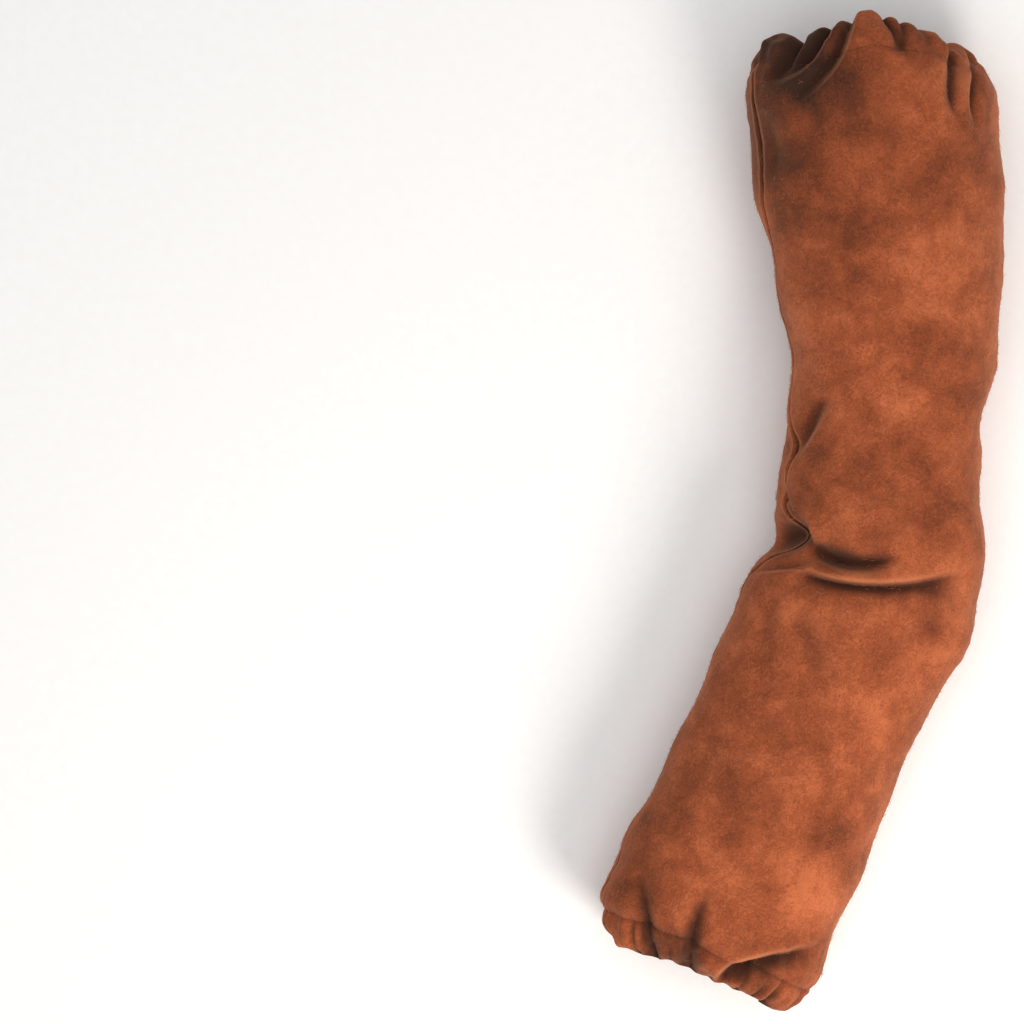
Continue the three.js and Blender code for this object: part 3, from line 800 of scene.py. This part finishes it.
@dataclass(frozen=True)
class SuedeFinish:
    """Suede split leather, dyed rust brown and napped on both sides.

    The nap lies this way and that in soft patches, so the colour goes cloudy, and patches of
    painted shade and painted light lie over it; fold bottoms get painted shade, and ridges a
    paler colour that is partly wear and partly painted highlight; the fibres give a dry, matt
    surface with a faint bright bloom at grazing angles.
    """

    # The darkest stop is reached mostly where the patches lay painted shade
    shade: str = "#38221a"
    dark: str = "#6e361f"
    middle: str = "#934a2b"
    light: str = "#b5623d"
    # Colour of the painted shade in hollows
    valley: str = "#301a13"
    # Paler colour of ridges: partly wear, partly painted highlight
    ridge: str = "#c27a52"
    cloud_mm: float = 46.0
    patch_mm: float = 17.0
    swirl_mm: float = 3.0
    # A real nap fibre is about 0.1 mm; it is drawn several times coarser so that it shows
    grain_mm: float = 0.8
    # How strong the grain still is at the arm end, and how far to both sides of the middle
    # its strength changes
    fine_end: float = 0.4
    grain_reach_mm: float = 280.0
    # Shares of cloud, patch, swirl and grain in the tone
    shares: tuple[float, float, float, float] = (0.28, 0.25, 0.28, 0.19)
    painted_shade_most: float = 0.84
    wear_and_highlight_most: float = 0.6
    bloom: str = "#e0a888"
    # Share of the patches, nap tone with painted shade and painted light, in the tone
    nap_and_painted_light_share: float = 0.16
    roughness: float = 0.95
    sheen: float = 0.3

    def material(self) -> Material:
        """Build the material from cloudy noise in sizes from centimetres down to the grain.

        Returns:
            The material.
        """
        material, tree = empty_material("napped_suede_split_leather")
        place = add_node(tree, "ShaderNodeTexCoord").outputs["Object"]

        def noise(size_mm: float, detail: float, distortion: float = 0.0) -> NodeSocket:
            """Add noise whose lumps are as wide as size_mm."""
            return add_node(tree, "ShaderNodeTexNoise", {
                "Vector": place, "Scale": 1 / (size_mm * MM), "Detail": detail,
                "Roughness": 0.55, "Distortion": distortion,
            }).outputs["Fac"]

        def math_node(operation: str, *values) -> NodeSocket:
            """Add a sum, product or the like of the values."""
            return add_node(tree, "ShaderNodeMath", dict(enumerate(values)),
                            operation=operation).outputs[0]

        def mark(name: str) -> NodeSocket:
            """Read one of the leather's own marks."""
            return add_node(tree, "ShaderNodeAttribute", attribute_name=name).outputs["Fac"]

        def blend(under: NodeSocket, colour: str, amount: NodeSocket,
                  most: float) -> NodeSocket:
            """Lay a colour over another where the amount is high, up to a share."""
            share = add_node(tree, "ShaderNodeMapRange", {
                "Value": amount, "To Max": most}, interpolation_type="SMOOTHSTEP").outputs[0]
            mix = {"Factor": share, "A": under, "B": linear(colour)}
            return add_node(tree, "ShaderNodeMix", mix, data_type="RGBA").outputs["Result"]

        swirl = noise(self.swirl_mm, 3.0, 1.6)
        # The nap lies smoother at the arm end and rougher towards the wrist
        reach = add_node(tree, "ShaderNodeMapRange", {
            "Value": add_node(tree, "ShaderNodeSeparateXYZ", {"Vector": place}).outputs["Y"],
            "From Min": -self.grain_reach_mm * MM, "From Max": self.grain_reach_mm * MM,
            "To Min": 1.0, "To Max": self.fine_end})
        grain = math_node("MULTIPLY_ADD", math_node("SUBTRACT", noise(self.grain_mm, 2.0), 0.5),
                          reach.outputs[0], 0.5)
        layers = (noise(self.cloud_mm, 1.0, 0.3), noise(self.patch_mm, 1.5, 0.4), swirl, grain)
        # The patches give the nap's own tone and also painted shade and painted light
        tone = math_node("MULTIPLY", mark("pale"), self.nap_and_painted_light_share)
        for value, share in zip(layers, self.shares):
            tone = math_node("MULTIPLY_ADD", value, share, tone)
        nap = colour_ramp(tree, tone, (
            (0.2, self.shade), (0.38, self.dark), (0.5, self.middle), (0.62, self.light)))
        # Painted shade: fold bottoms, stitch grooves, pucker hollows, turned-in seam edges and the
        # casings' inner plies are darkened towards the valley colour
        shaded = blend(nap, self.valley, mark("hollow"), self.painted_shade_most)
        # Ridges, pucker crests and the seam roll are paled towards the ridge colour, partly wear
        # and partly painted highlight
        wear_and_highlight = blend(shaded, self.ridge, mark("wear_and_highlight"), self.wear_and_highlight_most)
        soft = add_node(tree, "ShaderNodeBump", {
            "Height": swirl, "Strength": 0.55, "Distance": 0.5 * MM})
        rough = add_node(tree, "ShaderNodeBump", {
            "Height": grain, "Strength": 0.6, "Distance": 0.3 * MM,
            "Normal": soft.outputs["Normal"]})
        surface = add_node(tree, "ShaderNodeBsdfPrincipled", {
            "Base Color": wear_and_highlight, "Roughness": self.roughness,
            "Specular IOR Level": 0.15, "Sheen Weight": self.sheen, "Sheen Roughness": 0.55,
            "Sheen Tint": linear(self.bloom), "Normal": rough.outputs["Normal"],
        })
        add_node(tree, "ShaderNodeOutputMaterial", {"Surface": surface.outputs["BSDF"]})
        return material


@dataclass(frozen=True)
class PatternedFinish:
    """A finish that goes from a dark to a light colour in one fine pattern."""

    name: str
    dark: str
    light: str
    size_mm: float
    stops: tuple[float, float] = (0.3, 0.7)
    detail: float = 2.0
    roughness: float = 0.9
    specular: float = 0.5
    bump_strength: float = 0.0
    bump_mm: float = 0.0

    def pattern(self, tree: NodeTree) -> NodeSocket:
        """Add noise whose lumps are as wide as size_mm."""
        return add_node(tree, "ShaderNodeTexNoise", {
            "Vector": add_node(tree, "ShaderNodeTexCoord").outputs["Object"],
            "Scale": 1 / (self.size_mm * MM), "Detail": self.detail}).outputs["Fac"]

    def material(self) -> Material:
        """Build the material from its pattern, with a bump where it has a height.

        Returns:
            The material.
        """
        material, tree = empty_material(self.name)
        pattern = self.pattern(tree)
        inputs = {
            "Base Color": colour_ramp(tree, pattern, (
                (self.stops[0], self.dark), (self.stops[1], self.light))),
            "Roughness": self.roughness, "Specular IOR Level": self.specular,
        }
        if self.bump_mm:
            inputs["Normal"] = add_node(tree, "ShaderNodeBump", {
                "Height": pattern, "Strength": self.bump_strength,
                "Distance": self.bump_mm * MM}).outputs["Normal"]
        surface = add_node(tree, "ShaderNodeBsdfPrincipled", inputs)
        add_node(tree, "ShaderNodeOutputMaterial", {"Surface": surface.outputs["BSDF"]})
        return material


@dataclass(frozen=True)
class ThreadFinish(PatternedFinish):
    """Bonded polyester sewing thread, twisted and dyed near black, with a dull waxy gloss."""

    name: str = "twisted_polyester_thread"
    dark: str = "#2a1a14"
    light: str = "#46301f"
    size_mm: float = 0.5
    roughness: float = 0.6
    bump_strength: float = 0.6
    bump_mm: float = 0.15


@dataclass(frozen=True)
class FibreFinish(PatternedFinish):
    """Bare leather fibres, raised by the splitting and paler than the dyed nap under them."""

    name: str = "raised_leather_fibre"
    dark: str = "#8c4d30"
    light: str = "#c28059"
    size_mm: float = 12.0
    stops: tuple[float, float] = (0.35, 0.65)
    specular: float = 0.2


@dataclass(frozen=True)
class ElasticFinish(PatternedFinish):
    """Woven polyester elastic, black, whose rubber cords show as fine lengthwise ribs."""

    name: str = "woven_polyester_elastic"
    dark: str = "#161413"
    light: str = "#37322f"
    size_mm: float = 1.5
    stops: tuple[float, float] = (0.2, 0.8)
    roughness: float = 0.8
    bump_strength: float = 0.7
    bump_mm: float = 0.3

    def pattern(self, tree: NodeTree) -> NodeSocket:
        """Add a wave across the band, one rib to size_mm, read from its own UV map."""
        return add_node(tree, "ShaderNodeTexWave", {
            "Vector": add_node(tree, "ShaderNodeUVMap", uv_map="band").outputs["UV"],
            "Scale": 1 / (self.size_mm * MM) / (2 * math.pi), "Distortion": 0.4,
            "Detail": 1.0}, bands_direction="Y").outputs["Fac"]


@dataclass(frozen=True)
class FloorFinish(PatternedFinish):
    """Matt white studio paper, rolled out flat, with a barely visible tooth."""

    name: str = "matt_studio_paper"
    dark: str = "#faf9f8"
    light: str = "#fcfcfb"
    size_mm: float = 6.0
    detail: float = 3.0
    specular: float = 0.1


class SleeveEnd(Enum):
    """The two gathered ends of the sleeve."""

    ARM = "upper"
    WRIST = "wrist"

    def distance(self, form: SleeveForm, from_rim: Array) -> Array:
        """Turn a distance from this end's rim into one along the middle line."""
        return form.length - from_rim if self is SleeveEnd.WRIST else np.asarray(from_rim, float)


@dataclass
class Part:
    """A piece of the sleeve. All of them lie on the model's one body."""

    form: SleeveForm

    def dress(self, piece: Object, material: Material) -> None:
        """Give the piece its finish and its body."""
        piece.data.materials.append(material)
        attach(piece, "root")


@dataclass
class LeatherPanel(Part):
    """One piece of leather wrapped round the arm, its long edges turned in side by side."""

    name: str = "leather_panel"
    replaced: str = "sleeve_panel"
    seam_allowance: float = 8.0
    seam_roll: float = 3.0
    seam_gap: float = 0.2
    end_gap: float = 0.08
    fine_step: float = 1.25
    wide_step: float = 3.0
    under_columns: int = 34
    top_columns: int = 118
    roll_columns: int = 7
    flange_columns: int = 4
    # Share of the way round that the under columns take
    under_share: float = 0.53
    # Where the close rows end: distance from each rim in mm, and shares of the length
    gathers: tuple[float, float] = (56.0, 55.0)
    elbow: tuple[float, float] = (0.36, 0.62)
    # Over this length the panel's wall turns to the casing's
    casing_blend: float = 8.0
    # Painted shade on the turned-in edges, and the seam roll's paler colour, partly wear and partly
    # painted highlight
    seam_shade: float = 0.3
    seam_wear_and_highlight: float = 0.6
    seam_wear_and_highlight_width: float = 1.3
    # Width and length as cut, in metres. The cut narrows to the wrist, so its area is
    # given too, and is the modelled leather's own
    flat_size: tuple[float, float] = (0.43, 0.52)
    flat_area: float = 0.20

    def stations(self) -> Array:
        """Space the rows closely at the gathers and the elbow, and wider between them."""
        length, margin = self.form.length, self.form.casing_width + self.end_gap
        knots = np.array([margin, self.gathers[0], self.elbow[0] * length,
                          self.elbow[1] * length, length - self.gathers[1], length - margin])
        steps = (self.fine_step, self.wide_step, self.fine_step, self.wide_step, self.fine_step)
        rows = [np.linspace(a, b, max(2, round((b - a) / s)), endpoint=False)
                for a, b, s in zip(knots[:-1], knots[1:], steps)]
        return np.concatenate([*rows, knots[-1:]])

    def columns(self, per_degree: Array) -> tuple[Array, Array]:
        """Lay out the columns round one edge, the body of the leather and the other edge.

        The turned-in edge goes straight in, then round a quarter circle of the seam roll
        onto the face. The body's columns stand closer on the side that faces up.

        Args:
            per_degree: Arc length of one degree at each row, as a column.

        Returns:
            Angles from the seam, in degrees, and dips inwards, in mm, for each row.
        """
        roll = np.linspace(0, np.pi / 2, self.roll_columns, endpoint=False)
        flange = np.linspace(1, 0, self.flange_columns, endpoint=False)
        off = np.concatenate([0 * flange, self.seam_roll * (1 - np.cos(roll))]) + self.seam_gap / 2
        dip = np.concatenate([self.seam_roll + self.seam_allowance * flange,
                              self.seam_roll * (1 - np.sin(roll))])
        share = np.concatenate([
            np.linspace(0, self.under_share, self.under_columns, endpoint=False),
            np.linspace(self.under_share, 1, self.top_columns + 1)])
        first = (self.seam_gap / 2 + self.seam_roll) / per_degree
        turns = np.concatenate([off / per_degree, first + (360 - 2 * first) * share,
                                360 - off[::-1] / per_degree], axis=1)
        dips = np.concatenate([dip, np.zeros(len(share)), dip[::-1]])
        return turns, np.broadcast_to(dips, turns.shape)

    def build(self) -> Object:
        """Build the closed skin: outer face, inner face one thickness in, and cut edges.

        Returns:
            The piece.
        """
        form = self.form
        d = self.stations()[:, None]
        seam = SEAM_COURSE.curve("angle", d / form.length)
        seam_point = form.plain(d, seam)
        round_way = form.plain(d, seam + 1) - seam_point
        per_degree = np.linalg.norm(round_way, axis=-1)
        inward = unit(np.cross(form.plain(d + 0.5, seam) - seam_point, round_way))
        turns, dips = self.columns(per_degree)
        angle = seam + turns
        distance = np.broadcast_to(d, angle.shape)
        outer, marks = form.face(distance, angle)
        outer = outer + inward * dips[..., None]
        outer[..., 2] = np.maximum(outer[..., 2], 0)
        outward = unit(np.cross(np.gradient(outer, axis=1), np.gradient(outer, axis=0)))
        from_rim = np.minimum(distance, form.length - distance)
        past = from_rim - form.casing_width
        share = np.clip(1 - past / self.casing_blend, 0, 1) * (dips == 0)
        casing_way = form.casing_outward(angle, distance > form.length / 2)
        outward = unit(outward + (casing_way - outward) * share[..., None])
        inner = outer - outward * form.leather_thickness
        rings = np.concatenate([outer, inner[:, ::-1]], axis=1)
        # Painted shade on the turned-in edges, and a paler seam roll that is partly wear and partly
        # painted highlight
        marks["hollow"] = marks["hollow"] + self.seam_shade * np.clip(dips, 0, 3)
        from_seam = np.minimum(turns, 360 - turns) * per_degree
        roll_wear_and_highlight = self.seam_wear_and_highlight * bell(from_seam - self.seam_roll, self.seam_wear_and_highlight_width)
        marks["wear_and_highlight"] = marks["wear_and_highlight"] + roll_wear_and_highlight * (dips == 0)
        both = {mark: np.concatenate([v, v[:, ::-1]], axis=1) for mark, v in marks.items()}
        faces = ring_faces(rings.shape[0], rings.shape[1], False)
        return new_piece(self.name, rings, faces, both)

    def dress(self, piece: Object, suede: Material) -> None:
        super().dress(piece, suede)
        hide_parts(self.replaced)


@dataclass
class EndPart(Part):
    """A piece at one of the gathered ends."""

    end: SleeveEnd
    label: str = ""

    @property
    def name(self) -> str:
        """Give the piece's name."""
        return f"{self.end.value}_{self.label}"

    @property
    def at_wrist(self) -> bool:
        """Say whether this is the wrist end."""
        return self.end is SleeveEnd.WRIST


@dataclass
class HemPart(EndPart):
    """A closed ring that runs round the opening inside the turned hem, or is the hem itself."""

    room: float = 1.8
    elastic_width: float = 9.0
    seam_dip: float = 1.4
    columns: int = 240

    def sweep(self, from_rim: Array, inward: Array) -> tuple[Array, dict[str, Array], Array]:
        """Sweep an outline round the opening, each point set off straight out of the tube.

        Args:
            from_rim: Distance of each point of the outline from the rim, in mm.
            inward: How far it lies inside the leather's outer face, in mm.

        Returns:
            Points in mm, the marks of the face there, and rows of four point numbers.
        """
        angle = np.arange(self.columns)[:, None] * 360 / self.columns
        distance = self.end.distance(self.form, from_rim)[None, :]
        points, marks = self.form.face(distance, angle, self.seam_dip)
        outward = self.form.casing_outward(angle[:, 0], self.at_wrist)[:, None, :]
        points = points - outward * inward[None, :, None]
        return points, marks, ring_faces(points.shape[0], points.shape[1], True)


@dataclass
class Casing(HemPart):
    """The hem turned back over the elastic, one at each end."""

    label: str = "hem_casing"
    columns: int = 380
    end_gap: float = 0.08
    # How far the turned-in ply ends before the stitches, and how close it comes up there
    inner_ply_short: float = 0.8
    inner_ply_room: float = 0.3
    # Painted shade on the hem's inner plies
    inside_shade: float = 0.25
    puff: float = 1.25
    # The strips as cut, in metres: two plies and the turn wide, and as long as the area of
    # the modelled casings asks for
    strip_width: float = 0.033
    arm_strip: float = 0.44
    wrist_strip: float = 0.40

    def outline(self) -> tuple[Array, Array, Array]:
        """Draw the section of the turned hem, from the rim in and from the face down.

        The outer ply runs from the stitches to a half circle at the rim, and the inner ply
        comes back under it and closes up to it before the stitches. The inside runs the
        same way one thickness in, down to the room for the elastic.

        Returns:
            Distance from the rim, depth under the face, and share of the puff.
        """
        t = self.form.leather_thickness
        depth = 2 * t + self.room
        rim = depth / 2
        end = self.form.casing_width - self.end_gap
        band_end = t + self.room / 2 + self.elastic_width
        turn = np.linspace(0, np.pi, 11)[1:-1]
        ply = np.linspace(end, rim, 16)
        back_end = end - self.inner_ply_short
        back = np.linspace(rim, back_end, 14)
        rise = smooth_step((back - band_end) / (back_end - band_end))
        rise = rise * (self.room - self.inner_ply_room)
        from_rim = np.concatenate([ply, rim - rim * np.sin(turn), back, back[::-1],
                                   rim - (rim - t) * np.sin(turn[::-1]), ply[::-1]])
        under = np.concatenate([
            np.zeros(len(ply)), rim - rim * np.cos(turn), depth - rise, (depth - t - rise)[::-1],
            rim - (rim - t) * np.cos(turn[::-1]), np.full(len(ply), t)])
        bulge = np.sin(np.pi * np.clip(from_rim / end, 0, 1)) * np.where(under < rim, 1, 0.3)
        return from_rim, under, bulge

    def build(self) -> Object:
        """Sweep the outline, puffed out, and keep it over the floor.

        Returns:
            The piece.
        """
        from_rim, under, bulge = self.outline()
        points, marks, faces = self.sweep(from_rim, under - self.puff * bulge)
        points[..., 2] = np.maximum(points[..., 2], 0)
        # Painted shade on the hem's inner plies
        marks["hollow"] = marks["hollow"] + self.inside_shade * np.minimum(under, 2)[None, :]
        return new_piece(self.name, points, faces, marks)

    def dress(self, piece: Object, suede: Material) -> None:
        super().dress(piece, suede)
        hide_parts(f"{self.end.value}_casing")


@dataclass
class ElasticBand(HemPart):
    """The elastic inside a casing, which follows its gathers."""

    label: str = "elastic_band"
    thickness: float = 1.0

    def build(self) -> Object:
        """Sweep a flat oblong with rounded edges round the opening.

        Returns:
            The piece, with a UV map that runs round and across the band, in metres.
        """
        t, half = self.form.leather_thickness, self.thickness / 2
        top = t + (self.room - self.thickness) / 2
        start = t + self.room / 2
        end = start + self.elastic_width
        side = np.linspace(0, np.pi, 7)
        across = np.linspace(start + half, end - half, 9)
        from_rim = np.concatenate([across[:0:-1], start + half - half * np.sin(side),
                                   across[1:-1], end - half + half * np.sin(side)[:-1]])
        under = np.concatenate([np.full(8, top), top + half - half * np.cos(side),
                                np.full(7, top + self.thickness),
                                top + half + half * np.cos(side)[:-1]])
        points, _, faces = self.sweep(from_rim, under)
        piece = new_piece(self.name, points, faces)
        loops = np.empty(len(piece.data.loops), np.int32)
        piece.data.loops.foreach_get("vertex_index", loops)
        u = loops // len(from_rim) / self.columns * 2 * math.pi * self.form.girth * MM
        v = from_rim[loops % len(from_rim)] * MM
        layer = piece.data.uv_layers.new(name="band")
        layer.data.foreach_set("uv", np.stack([u, v], -1).astype(np.float32).ravel())
        return piece

    def dress(self, piece: Object, elastic: Material) -> None:
        """Give the band its finish and body, and hide the model's elastic that it stands for."""
        super().dress(piece, elastic)
        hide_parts(f"{self.end.value}_elastic")


@dataclass
class StitchRow(EndPart):
    """The row of lockstitches that holds a casing down, sunk in the groove it makes."""

    label: str = "stitches"
    pitch: float = 3.6
    stitch: float = 2.7
    thread: float = 0.55
    sunk: float = 0.25
    # How far the ends dive, in threads, and how far ahead and back the way is read, in mm
    dive: float = 0.8
    sight: float = 0.8
    sides: int = 6

    def build(self) -> Object:
        """Set a small rounded peg for each stitch along the groove.

        Length and pitch are guessed, as the photograph doesn't show them. The groove's
        line is measured, stitches stand one pitch apart on it, and each peg is a short
        lathe shape turned along the line and bent down at both ends.

        Returns:
            The piece.
        """
        form = self.form
        angle = np.linspace(0, 360, 2881)
        distance = self.end.distance(form, np.full(angle.shape, form.casing_width))
        line, _ = form.face(distance, angle)
        run = np.concatenate([[0], np.cumsum(np.linalg.norm(np.diff(line, axis=0), axis=1))])
        count = round(run[-1] / self.pitch)
        at = (np.arange(count) + 0.5) * run[-1] / count
        read = lambda s: np.stack([np.interp(s % run[-1], run, line[:, n]) for n in range(3)], -1)
        centre = read(at)
        along = unit(read(at + self.sight) - read(at - self.sight))
        out = form.casing_outward(np.interp(at, run, angle), self.at_wrist)
        out = unit(out - along * (out * along).sum(-1, keepdims=True))
        across = np.cross(along, out)
        x = np.array([-0.5, -0.46, -0.34, 0, 0.34, 0.46, 0.5]) * self.stitch
        radius = np.array([0.02, 0.6, 0.95, 1, 0.95, 0.6, 0.02]) * self.thread / 2
        drop = self.thread * (np.abs(x) / (self.stitch / 2)) ** 3 * self.dive
        a = np.arange(self.sides) * 2 * np.pi / self.sides
        side = radius[:, None] * np.cos(a)
        lift = radius[:, None] * np.sin(a) - drop[:, None] - self.sunk
        peg = (along[:, None, None] * x[:, None, None] + across[:, None, None] * side[..., None]
               + out[:, None, None] * lift[..., None])
        return new_rods(self.name, centre[:, None, None] + peg)


@dataclass
class LooseNap(Part):
    """Loose ends of the nap that stand up and curl over, seen as pale hairs and as fuzz."""

    name: str = "loose_nap_fibres"
    count: int = 3800
    shortest: float = 1.4
    longest: float = 4.5
    # A real fibre bundle is about 0.05 mm thick; it is drawn three times as thick to show
    thickness: float = 0.15
    highest: float = 0.75
    tightest_curl: float = 4.0
    taper: float = 0.6
    # The side that is never seen stays bare
    first_angle: float = -20.0
    last_angle: float = 200.0
    joints: int = 5
    sides: int = 4
    seed: int = 21

    def build(self) -> Object:
        """Grow each fibre from the leather as a bow whose heading turns evenly.

        A fibre runs over the leather in equal steps, each turned a little more than the
        last. It rises as 4 t (1 - t) of its height, where t goes from 0 to 1 along it, and
        its thickness falls towards its free end.

        Returns:
            The piece.
        """
        form, rng = self.form, np.random.default_rng(self.seed)
        margin = form.casing_width + 1
        distance = rng.uniform(margin, form.length - margin, self.count)
        angle = rng.uniform(self.first_angle, self.last_angle, self.count)
        root, _ = form.face(distance, angle)
        along = unit(form.face(distance + 0.4, angle)[0] - root)
        out = unit(np.cross(form.face(distance, angle + 0.4)[0] - root, along))
        over = np.cross(out, along)
        t = np.linspace(0, 1, self.joints)
        length = rng.uniform(self.shortest, self.longest, (self.count, 1))
        heading = rng.uniform(0, 2 * np.pi, (self.count, 1))
        curl = rng.uniform(-self.tightest_curl, self.tightest_curl, (self.count, 1))
        turn = (heading + curl * t)[..., None]
        way = along[:, None] * np.cos(turn) + over[:, None] * np.sin(turn)
        run = np.cumsum(way * (length / (self.joints - 1))[..., None], axis=1)
        high = rng.uniform(0.2, 1, (self.count, 1)) * self.highest
        rise = 4 * t * (1 - t) * high + t * high * 0.5 - 0.05
        middle = root[:, None] + run + out[:, None] * rise[..., None]
        side = np.cross(out[:, None], way)
        a = np.arange(self.sides) * 2 * np.pi / self.sides
        radius = (self.thickness / 2 * (1 - self.taper * t))[None, :, None, None]
        ring = side[:, :, None] * np.cos(a)[:, None] + out[:, None, None] * np.sin(a)[:, None]
        return new_rods(self.name, middle[:, :, None] + ring * radius)


@dataclass
class Studio:
    """Pale floor, soft light from the lower right, and a camera that looks straight down."""

    # Where the middle of the picture falls on the model, and how wide the picture is there
    look_at: tuple[float, float] = (-0.1664, 0.0003)
    picture_width: float = 0.5822
    picture_height_above_floor: float = 0.05
    camera_height: float = 8.0
    sensor: float = 36.0
    clip_end: float = 50.0
    floor_size: float = 8.0
    fill: float = 0.41

    def add_light(self, name: str, place: tuple[float, float, float],
                  target: tuple[float, float, float], size: float, watts: float,
                  colour: str) -> None:
        """Add a square area light that faces a target.

        Args:
            name: The light's name.
            place: Where it stands, in metres.
            target: Where it points.
            size: Its side, in metres.
            watts: Its power.
            colour: Its hex colour.
        """
        data = bpy.data.lights.new(name, "AREA")
        data.size = size
        data.energy = watts
        data.color = linear(colour)[:3]
        light = bpy.data.objects.new(name, data)
        way = np.array(target) - np.array(place)
        flat = math.hypot(way[0], way[1])
        light.location = place
        turn = math.atan2(way[1], way[0]) - math.pi / 2
        light.rotation_euler = (math.atan2(flat, -way[2]), 0, turn)
        bpy.context.scene.collection.objects.link(light)

    def build(self) -> None:
        """Lay the floor, hang the lights and set the camera up."""
        scene = bpy.context.scene
        half = self.floor_size / 2
        mesh = bpy.data.meshes.new("floor")
        corners = [(-half, -half, 0), (half, -half, 0), (half, half, 0), (-half, half, 0)]
        mesh.from_pydata(corners, [], [(0, 1, 2, 3)])
        mesh.materials.append(FloorFinish().material())
        floor = bpy.data.objects.new("floor", mesh)
        scene.collection.objects.link(floor)
        self.add_light("key", place=(0.5, -0.85, 0.8), target=(0.0, -0.12, 0.05), size=0.45,
                       watts=11, colour="#fff8f0")
        self.add_light("top", place=(-0.1, 0.0, 2.6), target=(-0.1, 0.0, 0.0), size=2.6,
                       watts=32, colour="#ffffff")
        world = bpy.data.worlds.new("studio")
        world.use_nodes = True
        background = world.node_tree.nodes["Background"].inputs
        background["Color"].default_value = linear("#ffffff")
        background["Strength"].default_value = self.fill
        scene.world = world
        scene.view_settings.view_transform = "Standard"
        data = bpy.data.cameras.new("camera")
        data.sensor_width = self.sensor
        reach = self.camera_height - self.picture_height_above_floor
        data.lens = self.sensor * reach / self.picture_width
        data.clip_end = self.clip_end
        camera = bpy.data.objects.new("camera", data)
        camera.location = (*self.look_at, self.camera_height)
        scene.collection.objects.link(camera)
        scene.camera = camera


def main() -> None:
    """Build the pieces in order, dress them and report each one."""
    logging.basicConfig(level=logging.INFO, format="%(name)s: %(message)s")
    form = SleeveForm()
    suede = SuedeFinish().material()
    thread = ThreadFinish().material()
    elastic = ElasticFinish().material()
    parts = [(LeatherPanel(form), suede)]
    for end in SleeveEnd:
        parts += [(Casing(form, end), suede), (ElasticBand(form, end), elastic),
                  (StitchRow(form, end), thread)]
    parts.append((LooseNap(form), FibreFinish().material()))
    for part, finish in parts:
        piece = part.build()
        part.dress(piece, finish)
        log.info("%s: %d faces", piece.name, len(piece.data.polygons))
    Studio().build()
    log.info("studio: floor, two lights and camera")


if __name__ == "__main__":
    main()
